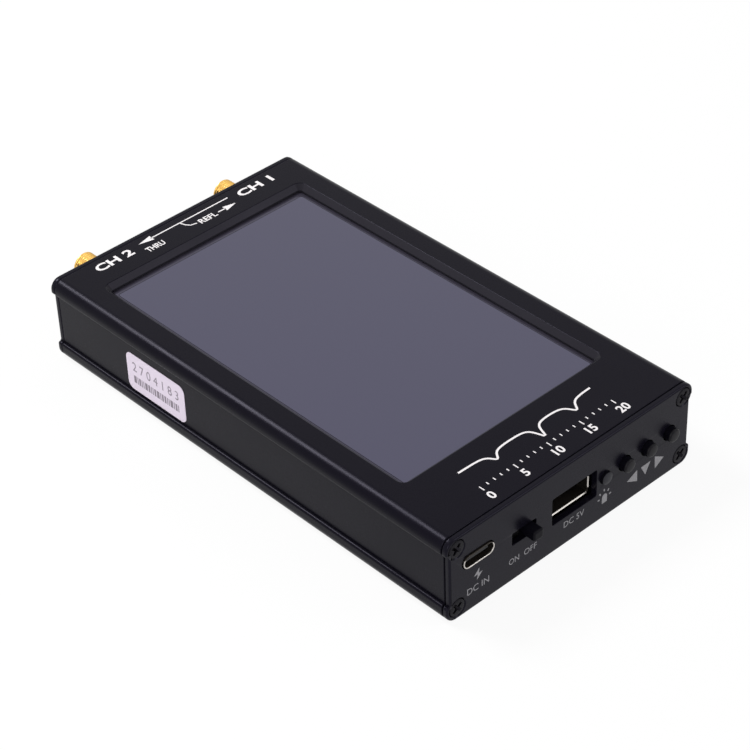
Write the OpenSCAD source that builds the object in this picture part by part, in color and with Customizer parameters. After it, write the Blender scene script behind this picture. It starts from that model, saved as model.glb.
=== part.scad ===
// Hand-held antenna analyzer.
// An extruded aluminium case holds a touch screen under a bevelled window. Two coaxial
// test ports come out of the rear plate; sockets, switch and buttons are in the front plate.
// The origin is the centre of the case's underside. +Z points up through the screen and
// +Y points towards the test ports. Sizes are in millimetres.

/* [Case] */
// Width of the case over its corner beads
case_w = 75; // [68:0.5:84]
// Length of the case over both end plates
case_l = 130; // [116:1:150]
// Height of the case
case_h = 22; // [21.5:0.1:26]
// Thickness of the wall above the screen
top_wall = 1.7; // [1.7:0.05:2.2]
// Thickness of the floor
floor_wall = 1.8; // [1.4:0.1:2.4]
// Thickness of the side walls
side_wall = 1.75; // [1.4:0.05:2]
// How far the side walls lie inside the corner beads
side_recess = 0.85; // [0.4:0.05:1]
// Height of each upper corner bead
top_bead_h = 3.8; // [3.4:0.1:4.6]
// Height of each lower corner bead
bottom_bead_h = 4.4; // [3.6:0.1:5]
// Rounding of the case's long outer edges
bead_r = 2.6; // [1.5:0.1:2.7]
// Rounding of the step where a bead meets the side wall
step_r = 0.6; // [0.2:0.1:0.8]
// Thickness of the end plates
plate_t = 1.6; // [1.2:0.1:2.2]

/* [Window and screen] */
// Flat rim beside the window's bevel, at each side of the case
side_rim = 6.9; // [6.6:0.1:10]
// Flat rim between the window's bevel and the rear end of the case
rear_rim = 10.8; // [10.5:0.1:16]
// Flat rim between the window's bevel and the front end of the case
front_rim = 19.5; // [18:0.1:26]
// Width and depth of the 45 degree bevel round the window
bevel = 1.3; // [1:0.05:1.3]
// Corner radius of the window at the foot of its bevel
window_r = 0.8; // [0.4:0.1:2]
// How far the touch panel reaches past the window at each side
border_x = 2.65; // [1.5:0.05:2.65]
// How far the touch panel reaches past the window at each end
border_y = 3.4; // [2:0.1:4]
// Thickness of the foam gasket under the window's rim
gasket_t = 0.35; // [0.2:0.05:0.6]
// Width of the gasket's strip
gasket_w = 1.7; // [1:0.1:2.4]
// Thickness of the touch panel
touch_t = 1; // [0.7:0.1:1.4]
// Thickness of the display panel
display_t = 1.2; // [0.8:0.1:1.6]
// Thickness of the backlight
backlight_t = 1.75; // [1.2:0.05:2.2]
// Thickness of the tape between the backlight and the board
screen_tape_t = 0.8; // [0.5:0.1:1.1]
// Width of each strip of that tape
screen_tape_w = 6; // [3:0.5:10]

/* [Board] */
// Thickness of the main board
board_t = 1.6; // [1.2:0.1:1.8]
// Gap between the board's long edges and the side walls
board_side_gap = 0.3; // [0.1:0.1:0.5]
// Gap between the board's front edge and the front plate
board_front_gap = 0.5; // [0.3:0.1:0.8]
// Depth of the guide ribs that hold the board
guide_depth = 1; // [0.8:0.1:1.4]
// Thickness of the guide ribs
guide_t = 1; // [0.8:0.1:1.4]
// Gap between the board and each guide rib
guide_gap = 0.05; // [0.02:0.01:0.1]

/* [Plate screws] */
// Distance from the plate's side to the screw's axis
screw_inset_x = 3; // [2.8:0.1:3.1]
// Distance from the top or underside to the screw's axis
screw_inset_z = 3; // [2.9:0.1:3.4]
// Diameter of the screw's shank
screw_d = 2.1; // [1.8:0.1:2.3]
// Diameter of the screw's countersunk head
screw_head_d = 4.8; // [4:0.1:5]
// Height of the countersunk head
screw_head_h = 1.3; // [1:0.1:1.5]
// Length of the screw over all
screw_l = 7; // [5:0.5:9]
// Length of the cross recess in the head
recess_l = 2.5; // [2:0.1:3]
// Width of the cross recess in the head
recess_w = 0.7; // [0.5:0.1:0.9]
// Depth of the cross recess in the head
recess_depth = 0.8; // [0.4:0.1:1]
// Diameter of the channel that takes the screw in the case
channel_d = 4.4; // [3.8:0.1:4.4]
// Gap between the screw and the holes that it passes through
screw_gap = 0.05; // [0.02:0.01:0.1]

/* [Flexes] */
// Width of the display's flex
display_flex_w = 20; // [12:1:26]
// Width of the touch panel's flex
touch_flex_w = 5; // [3:0.5:7]
// Distance from the touch panel's left edge to the middle of its flex
touch_flex_inset = 10; // [8:0.5:11]
// Thickness of both flexes
flex_t = 0.2; // [0.15:0.05:0.3]
// Straight run of each flex where it leaves the screen
flex_lead_in = 0.4; // [0.2:0.1:1]
// Straight run of each flex in front of its socket
flex_lead_out = 0.2; // [0.1:0.1:0.6]
// Height of the sockets that take the flexes
flex_socket_h = 1.2; // [1:0.1:1.4]
// Depth of those sockets
flex_socket_l = 3.2; // [2.4:0.1:4]
// Depth of the slot in those sockets
flex_slot_l = 1.4; // [1:0.1:1.6]

/* [USB-C socket] */
// Distance from the case's left side to the middle of the charging socket
usb_c_inset = 9.1; // [8.8:0.1:10]
// Width of the charging socket's shell
usb_c_w = 8.94; // [8.8:0.01:9.1]
// Height of the charging socket's shell
usb_c_h = 3.26; // [3.16:0.01:3.4]
// Length of the charging socket's shell
usb_c_l = 7.4; // [6.5:0.1:9]
// Wall of the charging socket's shell
usb_c_wall = 0.3; // [0.2:0.05:0.35]
// How far the charging socket stands out of the front plate
usb_c_proud = 0.35; // [0:0.05:0.8]
// Gap round the shell in the front plate
usb_c_gap = 0.2; // [0.1:0.05:0.3]
// How far the tongue stays behind the charging socket's mouth
usb_c_tongue_back = 0.8; // [0.4:0.1:1.5]
// Length of the block that closes the back of the charging socket
usb_c_block = 2; // [1:0.5:3]
// Width of the tongue in the charging socket
usb_c_tongue_w = 6.7; // [6.4:0.1:6.9]
// Thickness of the tongue in the charging socket
usb_c_tongue_t = 0.7; // [0.6:0.05:0.8]
// How far the charging socket is sunk into the board from below
usb_c_sink = 1.8; // [1.7:0.05:2]
// Gap between the charging socket and its notch in the board
usb_c_board_gap = 0.15; // [0.1:0.05:0.3]
// Length of each tab that carries the charging socket on the board
usb_c_tab_l = 1.2; // [0.8:0.1:1.6]
// How far each tab lies on the board beside the notch
usb_c_tab_reach = 0.5; // [0.4:0.05:0.6]

/* [USB-A socket] */
// Metal left between the power socket's cut-out and the indicator's hole
usb_a_led_web = 1.05; // [0.6:0.05:1.5]
// Width of the power socket's shell
usb_a_w = 13.1; // [12.9:0.1:13.3]
// Height of the power socket's shell
usb_a_h = 5.7; // [5.6:0.1:6]
// Length of the power socket's shell
usb_a_l = 14; // [12:0.5:17]
// Wall of the power socket's shell
usb_a_wall = 0.3; // [0.2:0.05:0.35]
// Gap beside and below the shell in the front plate's cut-out
usb_a_gap = 0.3; // [0.2:0.05:0.5]
// Gap above the shell in the front plate's cut-out
usb_a_gap_top = 1.3; // [0.3:0.1:1.5]
// Width of the tongue in the power socket
usb_a_tongue_w = 11.1; // [10.5:0.1:11.5]
// Thickness of the tongue in the power socket
usb_a_tongue_t = 1.8; // [1.6:0.1:2]
// How far the tongue stays behind the shell's mouth
usb_a_tongue_back = 1; // [0.5:0.1:2]
// Thickness of the block that closes the back of the power socket
usb_a_block = 3; // [2:0.5:4]
// Distance between neighbouring contacts in the power socket
usb_a_contact_pitch = 2.3; // [2:0.1:2.5]
// Width of a contact in the power socket
usb_a_contact_w = 1; // [0.8:0.1:1.2]
// Thickness of a contact in the power socket
usb_a_contact_t = 0.2; // [0.1:0.05:0.3]
// How far the contacts stay behind the tongue's tip
usb_a_contact_back = 1; // [0.5:0.1:2]
// How far the tongue's contact face lies above the middle of the socket
usb_a_tongue_rise = 0.1; // [0:0.05:0.3]

/* [Slide switch] */
// How far the switch lies to the right of the middle between the two sockets
switch_shift = 0.15; // [-0.5:0.05:0.5]
// Width of the slot in the front plate
switch_slot_w = 7.2; // [7:0.1:8]
// Height of the slot in the front plate
switch_slot_h = 3.3; // [3:0.1:3.5]
// Distance from the board down to the middle of the slot
switch_drop = 2.2; // [2.1:0.05:2.6]
// Width of the knob
knob_w = 2.9; // [2.4:0.1:3.2]
// Height of the knob
knob_h = 2.6; // [2:0.1:2.8]
// How far the knob stands out of the front plate
knob_proud = 2.9; // [1.5:0.1:3.5]
// How far the knob slides
switch_travel = 2.9; // [2:0.1:3.2]
// Width of the slider inside the switch
slider_w = 4; // [3.4:0.1:4.4]
// Depth of the slider inside the switch
slider_t = 1.6; // [1:0.1:2]
// Side of the square neck between knob and slider
neck_w = 1.6; // [1.2:0.1:2]
// Wall of the switch's frame
switch_wall = 0.7; // [0.5:0.1:0.9]
// Gap between the slider and the frame
slide_gap = 0.1; // [0.05:0.01:0.15]

/* [Buttons] */
// Distance from the case's right side to the last button's axis
button_inset = 7.1; // [6.9:0.1:7.3]
// Distance between neighbouring buttons
button_pitch = 7.15; // [6.8:0.05:7.2]
// Distance from the board down to the buttons' axes
button_drop = 2.1; // [2:0.05:2.4]
// Diameter of a button
button_d = 3.4; // [2.8:0.1:3.5]
// Gap round a button in the front plate
button_gap = 0.25; // [0.15:0.05:0.3]
// How far a button stands out of the front plate
button_proud = 1.8; // [1:0.1:3.5]
// How far a button travels when it is pressed
button_travel = 0.35; // [0.2:0.05:0.5]
// Width of the push switch behind a button
push_w = 5.8; // [5.4:0.1:6]
// Depth of the push switch behind a button
push_l = 3.6; // [3.4:0.1:4.4]
// Wall of the push switch
push_wall = 1; // [0.7:0.1:1.1]
// Diameter of a button's stem
stem_d = 2.4; // [2:0.1:2.6]
// Diameter of the collar that keeps the stem in the switch
collar_d = 3.2; // [2.9:0.1:3.3]
// Thickness of that collar
collar_t = 0.6; // [0.4:0.1:0.7]
// Running gap between a moving piece and its guide
run_gap = 0.05; // [0.02:0.01:0.08]

/* [Indicator] */
// Distance from the indicator's axis to the first button's axis
led_pitch = 6.2; // [5.8:0.1:6.4]
// Diameter of the indicator
led_d = 3; // [2.6:0.1:3]
// Distance from the board down to the indicator's axis
led_drop = 2.3; // [2:0.1:2.6]
// How far the indicator's tip stands out of the plate's face
led_proud = 1; // [0.4:0.1:1.4]
// Length of the indicator
led_l = 6; // [5.4:0.1:7]
// Gap round the indicator in the front plate
led_gap = 0.1; // [0.05:0.05:0.2]
// Side of each leg of the indicator
led_leg = 0.5; // [0.4:0.1:0.6]
// Distance between the legs of the indicator
led_leg_pitch = 2; // [1.6:0.1:2.2]
// How far the legs run back before they turn to the board
led_leg_run = 1; // [0.5:0.1:2]

/* [Test ports] */
// Distance from the case's side to a test port's axis
port_inset = 15.8; // [15.4:0.1:17]
// Diameter of a port's thread
port_thread_d = 6.35; // [6.3:0.01:6.4]
// Diameter of the groove between the nut and the free thread
port_groove_d = 5.4; // [5:0.1:5.6]
// Width of that groove
port_groove_l = 0.6; // [0.6:0.1:1]
// How far a port stands out of the rear plate
port_proud = 8.5; // [8:0.5:12]
// Side of a port's square flange
port_flange = 6.35; // [6.35:0.05:7]
// Thickness of a port's flange
port_flange_t = 1.7; // [1.2:0.1:2.2]
// Length of the legs that straddle the board
port_leg_l = 4.4; // [3:0.1:4.8]
// Width and height of those legs
port_leg = 1; // [0.8:0.1:1.2]
// Diameter of the mouth of a port
port_mouth_d = 4.62; // [4.6:0.01:4.7]
// Depth of the mouth of a port
port_mouth_l = 1.95; // [1.8:0.05:2.1]
// Diameter of the insulator in a port
port_insulator_d = 4.1; // [4:0.05:4.2]
// Diameter of the contact in a port
port_contact_d = 1.27; // [1.2:0.01:1.3]
// Diameter of the hole in the tip of the contact
port_socket_d = 0.92; // [0.9:0.01:0.96]
// Depth of the hole in the tip of the contact
port_socket_l = 3; // [2:0.1:4]
// Diameter of the contact's solder tail
port_tail_d = 0.8; // [0.6:0.1:1]
// Length of the contact's solder tail
port_tail_l = 2.8; // [2:0.1:3]
// Gap round the solder tail in the board's notch
port_tail_gap = 0.5; // [0.3:0.1:0.8]
// Width across the flats of a port's nut
nut_af = 8; // [7.8:0.1:9]
// Thickness of a port's nut
nut_t = 2; // [1.5:0.1:2.2]
// Outer diameter of a port's washer
washer_d = 8.6; // [8:0.1:9.5]
// Thickness of a port's washer
washer_t = 0.5; // [0.3:0.1:0.7]
// Gap between a port and what is fitted round it or in it
port_gap = 0.05; // [0.02:0.01:0.1]

/* [Battery] */
// Gap between the battery and the screw channels at each side
battery_side_gap = 3.3; // [1:0.1:6]
// Gap between the sockets and the battery
battery_front_gap = 7.9; // [7.5:0.1:12]
// Gap between the battery and the shield cans
battery_rear_gap = 7.5; // [3:0.1:12]
// Thickness of the battery
battery_t = 8.4; // [6:0.1:9]
// Thickness of the tape under the battery
battery_tape_t = 0.5; // [0.3:0.1:0.8]
// Diameter of a battery lead over its insulation
lead_d = 1.3; // [1:0.1:1.4]
// Distance between the two battery leads
lead_pitch = 2; // [1.6:0.1:2.2]
// Width of each strip of tape under the battery
battery_tape_w = 20; // [10:1:24]
// Distance from the board's right edge to the middle of the battery's plug
plug_inset = 14.6; // [10:0.1:20]
// Distance from the battery to the middle of its plug
plug_reach = 6; // [5:0.5:6]
// Width of the battery's plug
plug_w = 6; // [5:0.5:7]
// Length of the battery's plug
plug_l = 4; // [3:0.5:5]
// Height of the battery's plug and socket below the board
plug_h = 2.6; // [2.2:0.1:3]
// Gap between the plug and the board
plug_gap = 0.2; // [0.1:0.05:0.3]
// Depth of the battery's socket
plug_socket_l = 3; // [2:0.5:3]
// How much wider the socket is than the plug
plug_socket_rim = 2; // [1:0.5:3]

/* [Circuit] */
// Width of a shield can
can_w = 22; // [18:0.5:22]
// Length of a shield can
can_l = 28; // [20:0.5:30]
// Height of a shield can
can_h = 3.2; // [2.6:0.1:3.6]
// Wall of a shield can
can_wall = 0.3; // [0.2:0.05:0.4]
// Gap between a shield can and the port's legs
can_gap = 0.8; // [0.4:0.1:1.5]
// Side of the processor
processor_w = 10; // [7:0.5:12]
// Distance from the board's rear edge to the processor's middle
processor_inset = 23.7; // [22:0.1:25]
// Height of the chips
chip_h = 1; // [0.8:0.1:1.2]
// Length and width of the memory chip
memory_size = [5, 6];
// Distance from the board's rear edge to the memory chip's middle
memory_inset = 11.7; // [8:0.1:12]
// Length and width of the clock crystal
crystal_size = [5, 3.2];
// Distance from the board's rear edge to the clock crystal's middle
crystal_inset = 34.7; // [34:0.1:38]
// Side of each port's mixer chip
mixer_w = 4; // [3:0.5:6]
// Length and width of the charger chip
charger_size = [5, 4];
// Side of the boost inductor
inductor_w = 5; // [4:0.5:6]
// Height of the boost inductor
inductor_h = 2.4; // [1.8:0.1:3]
// Distance from the sockets' backs to the charger and the inductor
charger_gap = 6; // [5:0.5:8]

/* [Label] */
// Length of the label on the left side
label_l = 20.4; // [16:0.2:24]
// Gap between the label and the lower bead of the left side
label_bottom_gap = 0.65; // [0.4:0.05:1.5]
// Gap between the label and the upper bead of the left side
label_top_gap = 2.85; // [0.5:0.05:3.5]
// Distance from the rear end of the case to the label's middle
label_inset = 36.3; // [20:0.1:60]
// Corner radius of the label
label_r = 1.8; // [1:0.1:3]
// Thickness of the label
label_t = 0.12; // [0.1:0.02:0.2]

/* [Hidden] */
$fn = 64;
over = 1; // how far a cutter runs past the face that it opens

front_y = -case_l / 2;
rear_y = case_l / 2;
front_inner_y = front_y + plate_t;
rear_inner_y = rear_y - plate_t;
wall_x = case_w / 2 - side_recess;
cavity_x = wall_x - side_wall;

screw_x = case_w / 2 - screw_inset_x;
screw_places = [for (x = [-screw_x, screw_x], z = [screw_inset_z, case_h - screw_inset_z]) [x, z]];

window_w = case_w - 2 * (side_rim + bevel);
window_l = case_l - front_rim - rear_rim - 2 * bevel;
window_y = (front_rim - rear_rim) / 2;
touch_w = window_w + 2 * border_x;
touch_l = window_l + 2 * border_y;
gasket_z = case_h - top_wall - gasket_t;
touch_z = gasket_z - touch_t;
display_z = touch_z - display_t;
backlight_z = display_z - backlight_t;
board_top = backlight_z - screen_tape_t;
board_z = board_top - board_t;
board_w = 2 * (cavity_x - board_side_gap);
board_front = front_inner_y + board_front_gap;
board_rear = rear_inner_y - port_flange_t;
screen_front = window_y - touch_l / 2;

usb_c_z = board_z - usb_c_h / 2 + usb_c_sink;
usb_a_z = board_z - usb_a_h / 2;
switch_z = board_z - switch_drop;
button_z = board_z - button_drop;
led_z = board_z - led_drop;
port_z = board_z + board_t / 2;
port_x = case_w / 2 - port_inset;
port_hole_d = port_thread_d + 2 * port_gap;

// Flexes: each drops from its layer of the screen to the slot of its socket
flex_entry_z = board_top + flex_socket_h / 2;
display_flex_z = display_z + flex_t;
touch_flex_z = touch_z + flex_t;
touch_flex_x = touch_flex_inset - touch_w / 2;
display_flex_reach = flex_lead_in + display_flex_z - flex_entry_z + flex_lead_out + flex_slot_l;
touch_flex_reach = flex_lead_in + touch_flex_z - flex_entry_z + flex_lead_out + flex_slot_l;

// Buttons: the head stops short of its push switch by more than its travel
button_xs = [for (i = [0:2]) case_w / 2 - button_inset - (2 - i) * button_pitch];
led_x = button_xs[0] - led_pitch;
head_back = board_front - button_travel - run_gap;
collar_y = board_front + push_wall + run_gap;

// Charging socket, from its mouth to its back; it stands in a notch of the board
usb_c_x = usb_c_inset - case_w / 2;
usb_c_mouth = front_y - usb_c_proud;
usb_c_back = usb_c_mouth + usb_c_l;
usb_c_inner_w = usb_c_w - 2 * usb_c_wall;
usb_c_inner_h = usb_c_h - 2 * usb_c_wall;
usb_c_notch_w = usb_c_w + 2 * usb_c_board_gap;

// Power socket: its mouth is level with the board's front edge
usb_a_x = led_x - led_d / 2 - led_gap - usb_a_led_web - usb_a_gap - usb_a_w / 2;
usb_a_mouth = board_front;
usb_a_back = usb_a_mouth + usb_a_l;
usb_a_inner_w = usb_a_w - 2 * usb_a_wall;
usb_a_inner_h = usb_a_h - 2 * usb_a_wall;
usb_a_tongue_z = usb_a_z + usb_a_tongue_rise;
usb_a_tongue_y = usb_a_mouth + usb_a_tongue_back;

// Slide switch: the frame hangs under the board, level with the middle of the slot
switch_x = (usb_c_x + usb_c_w / 2 + usb_a_x - usb_a_w / 2) / 2 + switch_shift;
knob_x = switch_x + switch_travel / 2;
frame_w = slider_w + switch_travel + 2 * slide_gap + 2 * switch_wall;
frame_l = slider_t + 2 * slide_gap + 2 * switch_wall;
frame_h = 2 * switch_drop;
slider_h = frame_h - 2 * switch_wall - 2 * slide_gap;

// Battery and its plug
battery_z = floor_wall + battery_tape_t;
battery_top = battery_z + battery_t;
battery_w = 2 * (screw_x - channel_d / 2 - battery_side_gap);
can_rear = board_rear - port_leg_l - can_gap;
can_front = can_rear - can_l;
battery_front = usb_a_back + battery_front_gap;
battery_rear = can_front - battery_rear_gap;
plug_x = board_w / 2 - plug_inset;
plug_y = battery_front - plug_reach;
charger_y = usb_c_back + charger_gap;

// ---- shared shapes ----

// A bar along X with two corner radii: r_face at its far side, r_step at z = 0
module bead_bar(w, h, r_face, r_step) {
    translate([-w / 2 + r_face, h - r_face]) square([w - 2 * r_face, r_face]);
    translate([-w / 2, r_step]) square([w, h - r_face - r_step]);
    translate([-w / 2 + r_step, 0]) square([w - 2 * r_step, r_step]);
    for (side = [-1, 1]) {
        translate([side * (w / 2 - r_face), h - r_face]) circle(r_face);
        translate([side * (w / 2 - r_step), r_step]) circle(r_step, $fn = 32);
    }
}

// Outline of the case and its end plates, in X and Z
module case_outline() {
    translate([0, case_h - top_bead_h]) bead_bar(case_w, top_bead_h, bead_r, step_r);
    translate([0, bottom_bead_h]) mirror([0, 1]) bead_bar(case_w, bottom_bead_h, bead_r, step_r);
    translate([-wall_x, bottom_bead_h / 2]) square([2 * wall_x, case_h - (bottom_bead_h + top_bead_h) / 2]);
}

// Extrudes an outline drawn in X and Z from y0 to y1
module along_y(y0, y1) {
    translate([0, y1, 0]) rotate([90, 0, 0]) linear_extrude(y1 - y0) children();
}

// Extrudes an outline drawn in Y and Z across the middle of X
module across_x(w) {
    rotate([90, 0, 90]) translate([0, 0, -w / 2]) linear_extrude(w) children();
}

// A round bar along Y
module rod_y(d, y0, y1) {
    translate([0, y1, 0]) rotate([90, 0, 0]) cylinder(d = d, h = y1 - y0);
}

// A block centred on X, from y0 to y1 and from z0 to z1
module block(w, y0, y1, z0, z1) {
    translate([-w / 2, y0, z0]) cube([w, y1 - y0, z1 - z0]);
}

// A rectangle with round corners, centred
module round_rect(w, h, r) {
    square([w - 2 * r, h], center = true);
    square([w, h - 2 * r], center = true);
    for (sx = [-1, 1], sy = [-1, 1])
        translate([sx * (w / 2 - r), sy * (h / 2 - r)]) circle(r, $fn = 32);
}

// A slot with round ends, centred
module stadium(w, h) {
    square([w - h, h], center = true);
    for (side = [-1, 1]) translate([side * (w - h) / 2, 0]) circle(d = h);
}

// A quarter of a flat ribbon's bend, centred on the origin, in the quadrant sx, sy
module ribbon_bend(r, sx, sy) {
    intersection() {
        difference() {
            circle(r + flex_t / 2);
            circle(r - flex_t / 2);
        }
        translate([sx > 0 ? 0 : -2 * r, sy > 0 ? 0 : -2 * r]) square(2 * r);
    }
}

// A flat ribbon that leaves the screen at y = 0, drops by drop and runs on to y = -reach
module ribbon(drop, reach) {
    r = drop / 2;
    translate([-flex_lead_in, -flex_t / 2]) square([flex_lead_in, flex_t]);
    translate([-flex_lead_in, -r]) ribbon_bend(r, -1, 1);
    translate([-flex_lead_in - 2 * r, -r]) ribbon_bend(r, 1, -1);
    translate([-reach, -drop - flex_t / 2]) square([reach - flex_lead_in - 2 * r, flex_t]);
}

// ---- case ----

module case_extrusion() {
    color([0.16, 0.16, 0.18]) difference() {
        union() {
            along_y(front_inner_y, rear_inner_y) difference() {
                case_outline();
                translate([-cavity_x, floor_wall]) square([2 * cavity_x, case_h - floor_wall - top_wall]);
            }
            for (place = screw_places) intersection() {
                translate([place[0], 0, place[1]]) rod_y(channel_d, front_inner_y, rear_inner_y);
                along_y(front_inner_y, rear_inner_y) case_outline();
            }
            for (side = [-1, 1], z = [board_z - guide_gap - guide_t, board_top + guide_gap])
                translate([side * (cavity_x - guide_depth / 2), 0, 0])
                    block(guide_depth + side_wall / 2, front_inner_y, rear_inner_y, z, z + guide_t);
        }
        for (place = screw_places)
            translate([place[0], 0, place[1]])
                rod_y(screw_d + 2 * screw_gap, front_inner_y - over, rear_inner_y + over);
        translate([0, window_y, gasket_z])
            linear_extrude(case_h) round_rect(window_w, window_l, window_r);
        translate([0, window_y, case_h - bevel]) window_bevel();
    }
}

// The 45 degree bevel round the window
module window_bevel() {
    hull() {
        linear_extrude(over / 100) round_rect(window_w, window_l, window_r);
        translate([0, 0, bevel + over]) linear_extrude(over / 100)
            round_rect(window_w + 2 * (bevel + over), window_l + 2 * (bevel + over), window_r + bevel);
    }
}

// Screw holes and countersinks of an end plate, with their outer ends at outer_y
module plate_screw_holes(outer_y, turn) {
    hole_d = screw_d + 2 * screw_gap;
    for (place = screw_places) translate([place[0], outer_y, place[1]]) rotate([turn, 0, 0]) {
        translate([0, 0, -plate_t - over]) cylinder(d = hole_d, h = plate_t + 2 * over);
        translate([0, 0, -screw_head_h])
            cylinder(d1 = hole_d, d2 = screw_head_d + 2 * screw_gap, h = screw_head_h);
    }
}

module front_plate() {
    color([0.21, 0.21, 0.23]) difference() {
        along_y(front_y, front_inner_y) difference() {
            case_outline();
            translate([usb_c_x, usb_c_z])
                stadium(usb_c_w + 2 * usb_c_gap, usb_c_h + 2 * usb_c_gap);
            translate([switch_x, switch_z])
                square([switch_slot_w, switch_slot_h], center = true);
            translate([usb_a_x - usb_a_w / 2 - usb_a_gap, usb_a_z - usb_a_h / 2 - usb_a_gap])
                square([usb_a_w + 2 * usb_a_gap, usb_a_h + usb_a_gap + usb_a_gap_top]);
            translate([led_x, led_z]) circle(d = led_d + 2 * led_gap);
            for (x = button_xs) translate([x, button_z]) circle(d = button_d + 2 * button_gap);
        }
        plate_screw_holes(front_y, 90);
    }
}

module rear_plate() {
    color([0.21, 0.21, 0.23]) difference() {
        along_y(rear_inner_y, rear_y) difference() {
            case_outline();
            for (side = [-1, 1]) translate([side * port_x, port_z]) circle(d = port_hole_d);
        }
        plate_screw_holes(rear_y, -90);
    }
}

// A countersunk screw along +Z, its head's face at z = 0
module plate_screw() {
    difference() {
        union() {
            translate([0, 0, -screw_head_h]) cylinder(d1 = screw_d, d2 = screw_head_d, h = screw_head_h);
            translate([0, 0, -screw_l]) cylinder(d = screw_d, h = screw_l - screw_head_h);
        }
        for (turn = [0, 90]) rotate(turn)
            translate([-recess_l / 2, -recess_w / 2, -recess_depth])
                cube([recess_l, recess_w, recess_depth + over]);
    }
}

module front_plate_screws() {
    color([0.12, 0.12, 0.13]) for (place = screw_places)
        translate([place[0], front_y, place[1]]) rotate([90, 0, 0]) rotate(45) plate_screw();
}

module rear_plate_screws() {
    color([0.12, 0.12, 0.13]) for (place = screw_places)
        translate([place[0], rear_y, place[1]]) rotate([-90, 0, 0]) rotate(45) plate_screw();
}

// ---- screen ----

module screen_gasket() {
    color([0.08, 0.08, 0.08]) translate([0, window_y, gasket_z]) linear_extrude(gasket_t) difference() {
        square([touch_w, touch_l], center = true);
        square([touch_w - 2 * gasket_w, touch_l - 2 * gasket_w], center = true);
    }
}

module screen_layer(z, t, w, l) {
    translate([0, window_y, 0]) block(w, -l / 2, l / 2, z, z + t);
}

module touch_panel() {
    color([0.38, 0.38, 0.44]) screen_layer(touch_z, touch_t, touch_w, touch_l);
}

module display_panel() {
    color([0.2, 0.2, 0.24]) screen_layer(display_z, display_t, touch_w, touch_l);
}

module backlight() {
    color([0.9, 0.9, 0.92]) screen_layer(backlight_z, backlight_t, touch_w, touch_l);
}

module screen_tape() {
    color([0.1, 0.1, 0.1]) for (side = [-1, 1])
        translate([side * (touch_w - screen_tape_w) / 2, window_y, 0])
            block(screen_tape_w, -touch_l / 2, touch_l / 2, board_top, board_top + screen_tape_t);
}

module display_flex() {
    color([0.75, 0.5, 0.15]) translate([0, screen_front, display_flex_z])
        across_x(display_flex_w) ribbon(display_flex_z - flex_entry_z, display_flex_reach);
}

module touch_flex() {
    color([0.75, 0.5, 0.15]) translate([touch_flex_x, screen_front, touch_flex_z])
        across_x(touch_flex_w) ribbon(touch_flex_z - flex_entry_z, touch_flex_reach);
}

// A board socket for a flex: a block with a slot in its rear face
module flex_socket(w, reach) {
    side = 1.5; // what is left beside the slot
    translate([0, screen_front - reach, 0]) difference() {
        block(w + 2 * side, flex_slot_l - flex_socket_l, flex_slot_l, board_top, board_top + flex_socket_h);
        block(w, 0, flex_slot_l + over, flex_entry_z - flex_t / 2, flex_entry_z + flex_t / 2);
    }
}

module display_flex_socket() {
    color([0.2, 0.2, 0.2]) flex_socket(display_flex_w, display_flex_reach);
}

module touch_flex_socket() {
    color([0.2, 0.2, 0.2]) translate([touch_flex_x, 0, 0]) flex_socket(touch_flex_w, touch_flex_reach);
}

// ---- board ----

module main_board() {
    notch_w = port_tail_d + 2 * port_tail_gap;
    notch_l = port_tail_l + port_tail_gap;
    color([0.05, 0.25, 0.12]) difference() {
        block(board_w, board_front, board_rear, board_z, board_top);
        for (side = [-1, 1]) translate([side * port_x, 0, 0])
            block(notch_w, board_rear - notch_l, board_rear + over, board_z - over, board_top + over);
        translate([usb_c_x, 0, 0])
            block(usb_c_notch_w, board_front - over, usb_c_back + usb_c_board_gap,
                board_z - over, board_top + over);
    }
}

// ---- sockets ----

// The tabs start where the shell's flat top ends and lie on the board beside the notch
module usb_c_shell() {
    tab_start = (usb_c_w - usb_c_h) / 2;
    tab_end = usb_c_notch_w / 2 + usb_c_tab_reach;
    color([0.8, 0.8, 0.82]) translate([usb_c_x, 0, 0]) difference() {
        union() {
            translate([0, 0, usb_c_z]) along_y(usb_c_mouth, usb_c_back) stadium(usb_c_w, usb_c_h);
            for (side = [-1, 1], y = [board_front + usb_c_tab_l / 2, usb_c_back - 3 * usb_c_tab_l / 2])
                translate([side * (tab_start + tab_end) / 2, 0, 0])
                    block(tab_end - tab_start, y, y + usb_c_tab_l, board_top, board_top + usb_c_wall);
        }
        translate([0, 0, usb_c_z]) along_y(usb_c_mouth - over, usb_c_back + over)
            stadium(usb_c_inner_w, usb_c_inner_h);
    }
}

module usb_c_tongue() {
    color([0.1, 0.1, 0.1]) translate([usb_c_x, 0, usb_c_z]) {
        block(usb_c_tongue_w, usb_c_mouth + usb_c_tongue_back, usb_c_back,
            -usb_c_tongue_t / 2, usb_c_tongue_t / 2);
        along_y(usb_c_back - usb_c_block, usb_c_back) stadium(usb_c_inner_w, usb_c_inner_h);
    }
}

module usb_a_shell() {
    color([0.8, 0.8, 0.82]) translate([usb_a_x, 0, usb_a_z]) along_y(usb_a_mouth, usb_a_back) difference() {
        square([usb_a_w, usb_a_h], center = true);
        square([usb_a_inner_w, usb_a_inner_h], center = true);
    }
}

module usb_a_tongue() {
    color([0.1, 0.1, 0.1]) translate([usb_a_x, 0, 0]) {
        block(usb_a_tongue_w, usb_a_tongue_y, usb_a_back,
            usb_a_tongue_z, usb_a_tongue_z + usb_a_tongue_t);
        block(usb_a_inner_w, usb_a_back - usb_a_block, usb_a_back,
            usb_a_z - usb_a_inner_h / 2, usb_a_z + usb_a_inner_h / 2);
    }
}

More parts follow.
